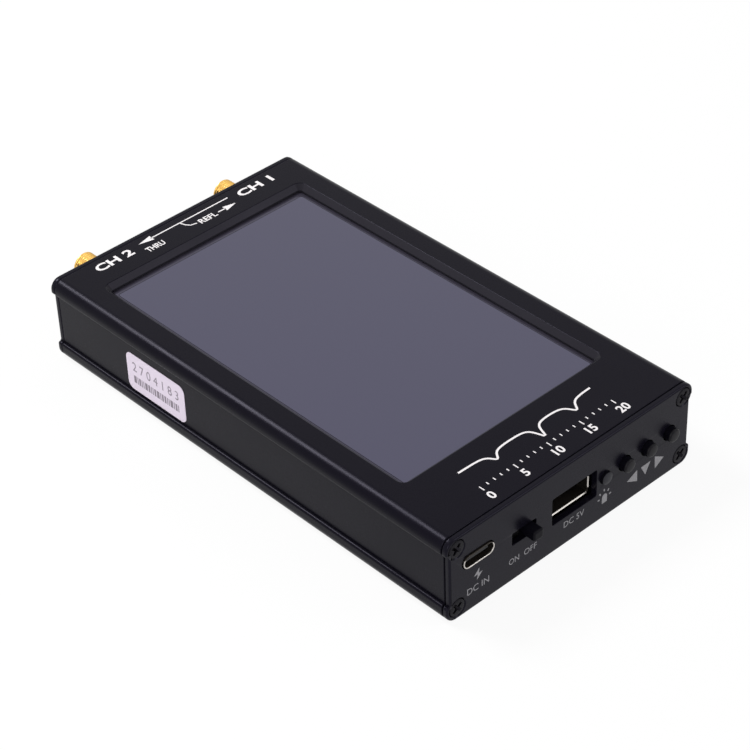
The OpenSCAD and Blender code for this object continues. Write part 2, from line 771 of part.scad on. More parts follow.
module usb_a_contacts() {
    color([0.85, 0.65, 0.25]) for (i = [-1.5:1:1.5])
        translate([usb_a_x + i * usb_a_contact_pitch, 0, 0])
            block(usb_a_contact_w, usb_a_tongue_y + usb_a_contact_back, usb_a_back - usb_a_block,
                usb_a_tongue_z - usb_a_contact_t, usb_a_tongue_z);
}

// ---- slide switch ----

// The neck joins the knob to the slider through a window in the frame
module power_switch_frame() {
    window_h = neck_w + 2 * slide_gap;
    color([0.7, 0.7, 0.72]) translate([switch_x, board_front, switch_z]) difference() {
        block(frame_w, 0, frame_l, -frame_h / 2, frame_h / 2);
        block(frame_w - 2 * switch_wall, switch_wall, frame_l - switch_wall,
            switch_wall - frame_h / 2, frame_h / 2 - switch_wall);
        block(switch_travel + window_h, -over, frame_l / 2, -window_h / 2, window_h / 2);
    }
}

module power_switch_knob() {
    slider_y = board_front + switch_wall + slide_gap;
    knob_back = board_front - slide_gap;
    color([0.08, 0.08, 0.08]) translate([knob_x, 0, switch_z]) {
        block(knob_w, front_y - knob_proud, knob_back, -knob_h / 2, knob_h / 2);
        block(neck_w, knob_back, slider_y, -neck_w / 2, neck_w / 2);
        block(slider_w, slider_y, slider_y + slider_t, -slider_h / 2, slider_h / 2);
    }
}

// ---- buttons ----

module push_switch(x) {
    color([0.1, 0.1, 0.1]) translate([x, 0, 0]) difference() {
        block(push_w, board_front, board_front + push_l, board_z - 2 * button_drop, board_z);
        translate([0, 0, button_z]) rod_y(stem_d + 2 * run_gap, board_front - over, board_front + push_l / 2);
        translate([0, 0, button_z]) rod_y(collar_d + 2 * run_gap, board_front + push_wall,
            collar_y + collar_t + button_travel + run_gap);
    }
}

module button(x) {
    color([0.09, 0.09, 0.1]) translate([x, 0, button_z]) {
        rod_y(button_d, front_y - button_proud, head_back);
        rod_y(stem_d, head_back, collar_y);
        rod_y(collar_d, collar_y, collar_y + collar_t);
    }
}

module push_switch_left() { push_switch(button_xs[0]); }
module push_switch_middle() { push_switch(button_xs[1]); }
module push_switch_right() { push_switch(button_xs[2]); }
module button_left() { button(button_xs[0]); }
module button_middle() { button(button_xs[1]); }
module button_right() { button(button_xs[2]); }

// ---- indicator ----

module indicator_led() {
    tip_y = front_y - led_proud;
    back_y = tip_y + led_l;
    turn_y = back_y + led_leg_run;
    color([0.75, 0.78, 0.8]) translate([led_x, 0, 0]) {
        translate([0, tip_y + led_d / 2, led_z]) sphere(d = led_d);
        translate([0, 0, led_z]) rod_y(led_d, tip_y + led_d / 2, back_y);
        for (side = [-1, 1]) translate([side * led_leg_pitch / 2, 0, 0]) {
            block(led_leg, back_y, turn_y, led_z - led_leg / 2, led_z + led_leg / 2);
            block(led_leg, turn_y, turn_y + led_leg, led_z - led_leg / 2, board_z);
        }
    }
}

// ---- test ports ----

module port_body() {
    flange_y = rear_inner_y - port_flange_t;
    tip_y = rear_y + port_proud;
    groove_y = rear_y + washer_t + nut_t;
    color([0.88, 0.68, 0.25]) translate([0, 0, port_z]) difference() {
        union() {
            block(port_flange, flange_y, rear_inner_y, -port_flange / 2, port_flange / 2);
            rod_y(port_thread_d, rear_inner_y, groove_y);
            rod_y(port_groove_d, groove_y, groove_y + port_groove_l);
            rod_y(port_thread_d, groove_y + port_groove_l, tip_y);
            for (side = [-1, 1], low = [board_t / 2, -board_t / 2 - port_leg])
                translate([side * (port_flange - port_leg) / 2, 0, 0])
                    block(port_leg, flange_y - port_leg_l, flange_y, low, low + port_leg);
        }
        rod_y(port_insulator_d + 2 * port_gap, flange_y - over, tip_y);
        rod_y(port_mouth_d, tip_y - port_mouth_l, tip_y + over);
    }
}

module port_insulator() {
    color([0.95, 0.95, 0.93]) translate([0, 0, port_z]) difference() {
        rod_y(port_insulator_d, rear_inner_y - port_flange_t, rear_y + port_proud - port_mouth_l);
        rod_y(port_contact_d, rear_inner_y - port_flange_t - over, rear_y + port_proud);
    }
}

module port_contact() {
    tip_y = rear_y + port_proud - port_mouth_l;
    color([0.9, 0.7, 0.3]) translate([0, 0, port_z]) difference() {
        union() {
            rod_y(port_contact_d, rear_inner_y - port_flange_t, tip_y);
            rod_y(port_tail_d, board_rear - port_tail_l, rear_inner_y - port_flange_t);
        }
        rod_y(port_socket_d, tip_y - port_socket_l, tip_y + over);
    }
}

module port_washer() {
    color([0.86, 0.66, 0.25]) translate([0, 0, port_z]) difference() {
        rod_y(washer_d, rear_y, rear_y + washer_t);
        rod_y(port_hole_d, rear_y - over, rear_y + washer_t + over);
    }
}

module port_nut() {
    color([0.88, 0.68, 0.25]) translate([0, 0, port_z]) difference() {
        along_y(rear_y + washer_t, rear_y + washer_t + nut_t) circle(d = nut_af / cos(30), $fn = 6);
        rod_y(port_hole_d, rear_y, rear_y + washer_t + nut_t + over);
    }
}

module at_port_1() { translate([port_x, 0, 0]) children(); }
module at_port_2() { translate([-port_x, 0, 0]) children(); }
module port_1_body() { at_port_1() port_body(); }
module port_1_insulator() { at_port_1() port_insulator(); }
module port_1_contact() { at_port_1() port_contact(); }
module port_1_washer() { at_port_1() port_washer(); }
module port_1_nut() { at_port_1() port_nut(); }
module port_2_body() { at_port_2() port_body(); }
module port_2_insulator() { at_port_2() port_insulator(); }
module port_2_contact() { at_port_2() port_contact(); }
module port_2_washer() { at_port_2() port_washer(); }
module port_2_nut() { at_port_2() port_nut(); }

// ---- battery ----

module battery_pack() {
    color([0.7, 0.72, 0.75]) block(battery_w, battery_front, battery_rear, battery_z, battery_top);
}

module battery_tape() {
    color([0.9, 0.9, 0.85]) for (side = [-1, 1])
        translate([side * (battery_w - battery_tape_w) / 2, 0, 0])
            block(battery_tape_w, battery_front, battery_rear, floor_wall, battery_z);
}

// Two leads that run back from the plug, turn down and enter the battery's front face
module battery_leads() {
    plug_end_z = board_z - plug_h / 2;
    battery_end_z = battery_top - lead_d;
    turn_y = battery_front - lead_d;
    color([0.75, 0.1, 0.1]) for (side = [-1, 1])
        translate([plug_x + side * lead_pitch / 2, 0, 0]) {
            translate([0, 0, plug_end_z]) rod_y(lead_d, plug_y + plug_l / 2, turn_y);
            translate([0, turn_y, plug_end_z]) sphere(d = lead_d);
            translate([0, turn_y, battery_end_z]) cylinder(d = lead_d, h = plug_end_z - battery_end_z);
            translate([0, turn_y, battery_end_z]) sphere(d = lead_d);
            translate([0, 0, battery_end_z]) rod_y(lead_d, turn_y, battery_front);
        }
}

module battery_plug() {
    color([0.92, 0.92, 0.88]) translate([plug_x, 0, 0])
        block(plug_w, plug_y - plug_l / 2, plug_y + plug_l / 2, board_z - plug_h, board_z - plug_gap);
}

module battery_socket() {
    color([0.92, 0.92, 0.88]) translate([plug_x, 0, 0])
        block(plug_w + plug_socket_rim, plug_y - plug_l / 2 - plug_socket_l, plug_y - plug_l / 2,
            board_z - plug_h, board_z);
}

// ---- circuit ----

// A part of the circuit that hangs under the board, centred on x and y
module under_board(x, y, size, h) {
    translate([x, y, 0]) block(size[0], -size[1] / 2, size[1] / 2, board_z - h, board_z);
}

module processor() {
    color([0.1, 0.1, 0.1]) under_board(0, board_rear - processor_inset, [processor_w, processor_w], chip_h);
}

module memory_chip() {
    color([0.1, 0.1, 0.1]) under_board(0, board_rear - memory_inset, memory_size, chip_h);
}

module clock_crystal() {
    color([0.8, 0.8, 0.8]) under_board(0, board_rear - crystal_inset, crystal_size, chip_h);
}

module charger_chip() {
    color([0.1, 0.1, 0.1]) under_board(usb_c_x, charger_y, charger_size, chip_h);
}

module boost_inductor() {
    color([0.25, 0.25, 0.25]) under_board(switch_x, charger_y, [inductor_w, inductor_w], inductor_h);
}

module shield_can() {
    color([0.8, 0.8, 0.82]) difference() {
        block(can_w, can_front, can_rear, board_z - can_h, board_z);
        block(can_w - 2 * can_wall, can_front + can_wall, can_rear - can_wall,
            board_z - can_h + can_wall, board_z + over);
    }
}

module port_mixer() {
    color([0.1, 0.1, 0.1]) under_board(0, can_rear - can_l / 2, [mixer_w, mixer_w], chip_h);
}

module port_1_shield() { at_port_1() shield_can(); }
module port_2_shield() { at_port_2() shield_can(); }
module port_1_mixer() { at_port_1() port_mixer(); }
module port_2_mixer() { at_port_2() port_mixer(); }

// ---- label ----

module side_label() {
    low = bottom_bead_h + label_bottom_gap;
    high = case_h - top_bead_h - label_top_gap;
    color([0.87, 0.82, 0.87]) translate([-wall_x, rear_y - label_inset, (low + high) / 2])
        rotate([90, 0, -90]) linear_extrude(label_t) round_rect(label_l, high - low, label_r);
}

case_extrusion();
front_plate();
rear_plate();
front_plate_screws();
rear_plate_screws();
screen_gasket();
touch_panel();
display_panel();
backlight();
screen_tape();
display_flex();
display_flex_socket();
touch_flex();
touch_flex_socket();
main_board();
usb_c_shell();
usb_c_tongue();
usb_a_shell();
usb_a_tongue();
usb_a_contacts();
power_switch_frame();
power_switch_knob();
push_switch_left();
push_switch_middle();
push_switch_right();
button_left();
button_middle();
button_right();
indicator_led();
port_1_body();
port_1_insulator();
port_1_contact();
port_1_washer();
port_1_nut();
port_2_body();
port_2_insulator();
port_2_contact();
port_2_washer();
port_2_nut();
battery_pack();
battery_tape();
battery_leads();
battery_plug();
battery_socket();
processor();
memory_chip();
charger_chip();
boost_inductor();
clock_crystal();
port_1_shield();
port_2_shield();
port_1_mixer();
port_2_mixer();
side_label();
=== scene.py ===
import math
from collections import Counter
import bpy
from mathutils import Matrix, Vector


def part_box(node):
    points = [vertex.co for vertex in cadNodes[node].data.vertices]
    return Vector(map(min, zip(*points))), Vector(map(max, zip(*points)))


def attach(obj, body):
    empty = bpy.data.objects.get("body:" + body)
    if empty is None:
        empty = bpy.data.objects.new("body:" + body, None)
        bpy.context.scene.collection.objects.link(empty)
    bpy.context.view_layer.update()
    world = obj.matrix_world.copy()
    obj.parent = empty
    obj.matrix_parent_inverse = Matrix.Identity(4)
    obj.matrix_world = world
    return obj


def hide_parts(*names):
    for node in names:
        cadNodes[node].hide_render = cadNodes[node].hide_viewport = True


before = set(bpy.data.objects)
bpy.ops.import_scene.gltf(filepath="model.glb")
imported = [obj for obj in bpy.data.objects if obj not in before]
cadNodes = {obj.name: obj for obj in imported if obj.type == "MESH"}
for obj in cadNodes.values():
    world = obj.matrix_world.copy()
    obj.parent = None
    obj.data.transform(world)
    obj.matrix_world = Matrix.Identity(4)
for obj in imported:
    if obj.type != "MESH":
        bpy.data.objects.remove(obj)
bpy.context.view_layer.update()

from types import SimpleNamespace

import bmesh
import bpy
from mathutils import Matrix, Vector
from mathutils.geometry import tessellate_polygon

# A hand-held two-port antenna analyzer: satin black case, bevelled window, control panel and two gold ports.
# Lengths in the dictionaries are in millimetres; every mesh is scaled to metres as it is made.
mm = 0.001
samePoint = 1e-5
scene = bpy.context.scene
scene.view_settings.view_transform = "Standard"


def named(values):
    # A dictionary's entries as attributes, which keeps the formulas short
    return SimpleNamespace(**values)


# Loops are lists of (u, v) points, anticlockwise

def arcPoints(cu, cv, radius, start, end, steps):
    turns = [math.radians(start + (end - start) * i / steps) for i in range(steps + 1)]
    return [(cu + radius * math.cos(a), cv + radius * math.sin(a)) for a in turns]


def circleLoop(cu, cv, radius, steps=48):
    return arcPoints(cu, cv, radius, 0, 360, steps)[:-1]


def roundedLoop(cu, cv, width, height, radius, steps=6):
    halfU, halfV = width / 2 - radius, height / 2 - radius
    points = []
    for sideU, sideV, start in ((1, 1, 0), (-1, 1, 90), (-1, -1, 180), (1, -1, 270)):
        for point in arcPoints(cu + sideU * halfU, cv + sideV * halfV, radius, start, start + 90, steps):
            if not points or math.dist(point, points[-1]) > samePoint:
                points.append(point)
    return points[:-1] if math.dist(points[0], points[-1]) < samePoint else points


def insetLoop(loop, amount, sharpest=0.2):
    # Moves every side inwards; sharpest limits how far the point of a narrow corner runs
    moved = []
    for i, (u, v) in enumerate(loop):
        before, after = loop[i - 1], loop[(i + 1) % len(loop)]
        inU, inV = u - before[0], v - before[1]
        outU, outV = after[0] - u, after[1] - v
        inLong, outLong = math.hypot(inU, inV), math.hypot(outU, outV)
        firstU, firstV = -inV / inLong, inU / inLong
        nextU, nextV = -outV / outLong, outU / outLong
        reach = amount / max(sharpest, 1 + firstU * nextU + firstV * nextV)
        moved.append((u + (firstU + nextU) * reach, v + (firstV + nextV) * reach))
    return moved


def edgeSteps(edge, depth, steps=3):
    # (inset, depth) of the rings that round both ends of a wall
    turns = [math.pi / 2 * i / steps for i in range(steps + 1)]
    near = [(edge * (1 - math.sin(a)), edge * (1 - math.cos(a))) for a in turns]
    return near + [(inset, depth - down) for inset, down in reversed(near)]


# Places on the object: each turns (u, v, depth below the face) into (x, y, z)

def onFront(faceY):
    return lambda u, v, depth: (u, faceY + depth, v)


def onRear(faceY):
    return lambda u, v, depth: (-u, faceY - depth, v)


def onTop(faceZ):
    return lambda u, v, depth: (u, v, faceZ - depth)


def onLeft(faceX):
    return lambda u, v, depth: (faceX + depth, -u, v)


def ring(bm, place, loop, depth):
    return [bm.verts.new(place(u, v, depth)) for u, v in loop]


def sideCorners(near, far, i):
    j = (i + 1) % len(near)
    return near[i], near[j], far[j], far[i]


def joinRings(bm, rings, skip=None):
    return [bm.faces.new(sideCorners(near, far, i)) for near, far in zip(rings, rings[1:])
            for i in range(len(near)) if i != skip]


def fillCap(bm, rings):
    # Closes the area inside the first ring and outside the others
    verts = [v for one in rings for v in one]
    for corners in tessellate_polygon([[v.co for v in one] for one in rings]):
        picked = [verts[i] for i in corners]
        if len(set(picked)) == 3 and not bm.faces.get(picked):
            bm.faces.new(picked)


def addWalls(bm, place, walls):
    # A solid from its walls: each is a list of (loop, depth) rings from the face to the back
    ends = []
    for wall in walls:
        rings = [ring(bm, place, loop, depth) for loop, depth in wall]
        joinRings(bm, rings)
        ends.append((rings[0], rings[-1]))
    for caps in zip(*ends):
        fillCap(bm, caps)


def roundedWall(loop, side, edge, depth, steps=3):
    # side is 1 for a wall with its material inside the loop, and -1 for a hole
    return [(insetLoop(loop, side * inset), down) for inset, down in edgeSteps(edge, depth, steps)]


def roundedPrism(bm, place, outer, depth, holes=(), edge=0.1, steps=3):
    loops = [(outer, 1)] + [(hole, -1) for hole in holes]
    addWalls(bm, place, [roundedWall(loop, side, edge, depth, steps) for loop, side in loops])


def addSlab(bm, x, z, wide, high, nearY, farY, edge=0.08, steps=2):
    # A block that runs back from the front; its long edges' radius stays under half of its thinner side
    corner = min(edge, min(wide, high) / 2.2)
    loop = roundedLoop(x, z, wide, high, corner, steps)
    roundedPrism(bm, onFront(nearY), loop, farY - nearY, edge=edge * 0.9, steps=steps)


def turned(bm, place, profile, steps=48, cu=0.0, cv=0.0, closed=False):
    # A turned form: each entry is a (radius, depth) pair or a function of the angle that gives one
    rings = []
    for entry in profile:
        if not callable(entry) and entry[0] == 0:
            rings.append([bm.verts.new(place(cu, cv, entry[1]))])
            continue
        one = []
        for i in range(steps):
            a = 2 * math.pi * i / steps
            radius, depth = entry(a) if callable(entry) else entry
            one.append(bm.verts.new(place(cu + radius * math.cos(a), cv + radius * math.sin(a), depth)))
        rings.append(one)
    if closed:
        rings.append(rings[0])
    for near, far in zip(rings, rings[1:]):
        for i in range(steps):
            j = (i + 1) % steps
            if len(near) == 1:
                bm.faces.new((near[0], far[j], far[i]))
            elif len(far) == 1:
                bm.faces.new((near[i], near[j], far[0]))
            else:
                bm.faces.new(sideCorners(near, far, i))


def roundedCorner(radius, depth, turn, steps=4):
    # (radius, depth) pairs round the edge of a turned form's end face
    turns = [math.pi / 2 * i / steps for i in range(steps + 1)]
    return [(radius - turn * (1 - math.sin(a)), depth + turn * (1 - math.cos(a))) for a in turns]


def paint(bm, index, start=0, end=None, where=None):
    # Gives faces the finish of that number: those made from start to end, where where() says so
    bm.faces.ensure_lookup_table()
    for face in bm.faces[start:end]:
        if where is None or where(face.calc_center_median()):
            face.material_index = index


def newMesh(name, bm, scale=1.0):
    bmesh.ops.recalc_face_normals(bm, faces=bm.faces)
    bmesh.ops.scale(bm, vec=(scale, scale, scale), verts=bm.verts)
    mesh = bpy.data.meshes.new(name)
    bm.to_mesh(mesh)
    bm.free()
    return mesh


def makePiece(name, bm, looks, replaces=(), body="case", sharp=35, weighted=True):
    # looks are names of finishes, added in order as the mesh's materials; faces take the first unless painted
    # otherwise
    mesh = newMesh(name, bm, mm)
    piece = bpy.data.objects.new(name, mesh)
    scene.collection.objects.link(piece)
    for one in looks:
        mesh.materials.append(materials[one])
    mesh.shade_smooth()
    mesh.set_sharp_from_angle(angle=math.radians(sharp))
    if weighted:
        weight = piece.modifiers.new("flat faces", "WEIGHTED_NORMAL")
        weight.keep_sharp = True
        weight.weight = 80
    if replaces:
        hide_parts(*replaces)
    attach(piece, body)


# Shader node groups: each holds one effect, and each material places it with its own values

def add(tree, kind, values=None, **settings):
    node = tree.nodes.new("ShaderNode" + kind)
    for key, value in settings.items():
        setattr(node, key, value)
    for key, value in (values or {}).items():
        if isinstance(value, bpy.types.NodeSocket):
            tree.links.new(value, node.inputs[key])
        else:
            node.inputs[key].default_value = value
    return node


def mathNode(tree, operation, first, second, clamp=False):
    return add(tree, "Math", {0: first, 1: second}, operation=operation, use_clamp=clamp).outputs[0]


def mixColours(tree, share, first, second):
    # 6 and 7 are the mix node's colour inputs, and 2 is its colour output
    return add(tree, "Mix", {"Factor": share, 6: first, 7: second}, data_type="RGBA").outputs[2]


def ramp(tree, value, low, high, toLow=0.0, toHigh=1.0):
    return add(tree, "MapRange", {"Value": value, "From Min": low, "From Max": high,
                                  "To Min": toLow, "To Max": toHigh}).outputs["Result"]


def noise(tree, vector, scale, detail, roughness=0.5, distortion=0.0):
    return add(tree, "TexNoise", {"Vector": vector, "Scale": scale, "Detail": detail, "Roughness": roughness,
                                  "Distortion": distortion}).outputs["Fac"]


def newGroup(name, inputs, outputs):
    # Inputs are default values by name, None for a vector; an output is a value unless it is named Colour
    group = bpy.data.node_groups.new(name, "ShaderNodeTree")
    for label, value in inputs.items():
        kind = "Vector" if value is None else "Color" if isinstance(value, tuple) else "Float"
        socket = group.interface.new_socket(name=label, in_out="INPUT", socket_type="NodeSocket" + kind)
        if value is not None:
            socket.default_value = value
    for label in outputs:
        kind = "Color" if label == "Colour" else "Float"
        group.interface.new_socket(name=label, in_out="OUTPUT", socket_type="NodeSocket" + kind)
    return group, group.nodes.new("NodeGroupInput").outputs, group.nodes.new("NodeGroupOutput").inputs


# A noise's values lie mostly between 0.3 and 0.7, so the ramps below start and end inside that range

def makeGrainGroup():
    # Fine grain with lighter flecks, and slow clouds in the gloss
    group, given, out = newGroup("Surface Grain", {
        "Vector": None, "Colour": (0.5, 0.5, 0.5, 1), "Fleck Colour": (0.6, 0.6, 0.6, 1), "Fleck Share": 0.5,
        "Grain Scale": 9000.0, "Cloud Scale": 60.0, "Roughness": 0.5, "Roughness Spread": 0.05,
    }, ["Colour", "Roughness", "Height"])
    fine = noise(group, given["Vector"], given["Grain Scale"], 2.5, 0.6)
    slow = noise(group, given["Vector"], given["Cloud Scale"], 4.0, 0.55)
    flecks = mathNode(group, "MULTIPLY", ramp(group, fine, 0.48, 0.72), given["Fleck Share"])
    group.links.new(mixColours(group, flecks, given["Colour"], given["Fleck Colour"]), out["Colour"])
    swing = mathNode(group, "ADD", ramp(group, slow, 0.3, 0.7, -0.8, 0.8),
                     ramp(group, fine, 0.3, 0.7, -0.4, 0.4))
    uneven = mathNode(group, "MULTIPLY", swing, given["Roughness Spread"])
    group.links.new(mathNode(group, "ADD", given["Roughness"], uneven, True), out["Roughness"])
    group.links.new(fine, out["Height"])
    return group


def makeDrawnGroup():
    # Faint lines along the length, as a die leaves them
    group, given, out = newGroup("Drawn Lines", {"Vector": None, "Across Scale": 2600.0, "Along Scale": 6.0},
                                 ["Height"])
    split = add(group, "SeparateXYZ", {"Vector": given["Vector"]}).outputs
    scales = {"X": given["Across Scale"], "Y": given["Along Scale"], "Z": given["Across Scale"]}
    drawn = add(group, "CombineXYZ", {
        axis: mathNode(group, "MULTIPLY", split[axis], scale) for axis, scale in scales.items()})
    group.links.new(noise(group, drawn.outputs[0], 1.0, 2.0), out["Height"])
    return group


def makeWearGroup():
    # Paler colour along the edges, broken up by noise: partly worn edges, partly a painted highlight along
    # them
    group, given, out = newGroup("Edge Wear And Highlight", {
        "Vector": None, "Colour": (0.5, 0.5, 0.5, 1), "Worn And Lit Colour": (0.8, 0.8, 0.8, 1), "Width": 0.0003,
        "Amount": 0.5, "Break Scale": 900.0,
    }, ["Colour"])
    soft = add(group, "Bevel", {"Radius": given["Width"]}, samples=4).outputs["Normal"]
    face = add(group, "NewGeometry").outputs["Normal"]
    facing = add(group, "VectorMath", {0: soft, 1: face}, operation="DOT_PRODUCT").outputs["Value"]
    patches = ramp(group, noise(group, given["Vector"], given["Break Scale"], 4.0, 0.65), 0.35, 0.68)
    broken = mathNode(group, "MULTIPLY", ramp(group, facing, 0.995, 0.9), patches)
    mask = mathNode(group, "MULTIPLY", broken, given["Amount"], True)
    group.links.new(mixColours(group, mask, given["Colour"], given["Worn And Lit Colour"]), out["Colour"])
    return group


def makeSmudgeGroup():
    # Soft wiped patches in the gloss of a film
    group, given, out = newGroup(
        "Wiped Smudges", {"Vector": None, "Scale": 30.0, "Roughness": 0.1, "Spread": 0.05}, ["Roughness"])
    patches = ramp(group, noise(group, given["Vector"], given["Scale"], 5.0, 0.6, 1.6), 0.4, 0.7)
    duller = mathNode(group, "MULTIPLY", patches, given["Spread"])
    group.links.new(mathNode(group, "ADD", given["Roughness"], duller, True), out["Roughness"])
    return group


def makeBoardGroup():
    # Glass cloth under green solder mask, with darker tracks on a square grid
    group, given, out = newGroup("Board Tracks", {
        "Vector": None, "Colour": (0.02, 0.12, 0.05, 1), "Track Colour": (0.03, 0.2, 0.08, 1),
        "Track Scale": 420.0,
    }, ["Colour", "Height"])
    cells = add(group, "TexVoronoi", {"Vector": given["Vector"], "Scale": given["Track Scale"]},
                distance="MANHATTAN", feature="F1")
    tracks = ramp(group, cells.outputs["Distance"], 0.42, 0.5)
    group.links.new(mixColours(group, tracks, given["Colour"], given["Track Colour"]), out["Colour"])
    group.links.new(tracks, out["Height"])
    return group


grainGroup = makeGrainGroup()
drawnGroup = makeDrawnGroup()
wearAndHighlightGroup = makeWearGroup()
smudgeGroup = makeSmudgeGroup()
boardGroup = makeBoardGroup()
print("node groups made")

# What a finish has unless it says otherwise; None leaves an effect out
lookDefaults = {
    "fleckShare": 0.5, "grainScale": 9000.0, "cloudScale": 60.0, "spread": 0.05, "bumpStrength": 0.5,
    "metallic": 0.0, "specular": 0.5, "tint": (1.0, 1.0, 1.0, 1), "shader": {},
    "wear": None, "wearWidth": 0.25, "wearAmount": 0.4, "drawn": None, "tracks": None,
    "rim": None, "rimRamp": (0.3, 0.9, 0.0, 0.9), "smudge": None, "smudgeScale": 22.0,
}


def look(colour, fleck, roughness, bump, **more):
    return {**lookDefaults, "colour": colour, "fleck": fleck, "roughness": roughness, "bump": bump, **more}


def finish(name, values):
    # One material: grain in its colour and gloss, then the other effects of its finish
    k = named(values)
    material = bpy.data.materials.new(name)
    material.use_nodes = True
    tree = material.node_tree
    shader = tree.nodes["Principled BSDF"]
    constants = {"Metallic": k.metallic, "Specular IOR Level": k.specular, "Specular Tint": k.tint,
                 **k.shader}
    for key, value in constants.items():
        shader.inputs[key].default_value = value
    where = add(tree, "TexCoord").outputs["Object"]

    def effect(group, given):
        return add(tree, "Group", {"Vector": where, **given}, node_tree=group).outputs

    grain = effect(grainGroup, {
        "Colour": (*k.colour, 1), "Fleck Colour": (*k.fleck, 1), "Fleck Share": k.fleckShare,
        "Grain Scale": k.grainScale, "Cloud Scale": k.cloudScale, "Roughness": k.roughness,
        "Roughness Spread": k.spread})
    colour, gloss, height = (grain[label] for label in ("Colour", "Roughness", "Height"))
    if k.tracks:
        tracks = effect(boardGroup, {"Colour": colour, "Track Colour": (*k.tracks, 1)})
        colour, height = tracks["Colour"], tracks["Height"]
    if k.drawn:
        lines = mathNode(tree, "MULTIPLY", effect(drawnGroup, {})["Height"], k.drawn)
        height = mathNode(tree, "ADD", height, lines)
    # paler edges: part wear, part painted edge highlight
    if k.wear:
        colour = effect(wearAndHighlightGroup, {"Colour": colour, "Worn And Lit Colour": (*k.wear, 1), "Width": k.wearWidth * mm,
                                    "Amount": k.wearAmount})["Colour"]
    # painted shade: the colour turns to the rim colour where the surface turns away from the view, in place
    # of dark surroundings in its reflection
    if k.rim:
        turnedAway = add(tree, "LayerWeight", {"Blend": 0.5}).outputs["Facing"]
        colour = mixColours(tree, ramp(tree, turnedAway, *k.rimRamp), colour, (*k.rim, 1))
    if k.smudge:
        gloss = effect(smudgeGroup, {"Scale": k.smudgeScale, "Roughness": k.roughness,
                                     "Spread": k.smudge})["Roughness"]
    bump = add(tree, "Bump", {"Strength": k.bumpStrength, "Distance": k.bump * mm, "Height": height})
    tree.links.new(colour, shader.inputs["Base Color"])
    tree.links.new(gloss, shader.inputs["Roughness"])
    tree.links.new(bump.outputs["Normal"], shader.inputs["Normal"])
    return material
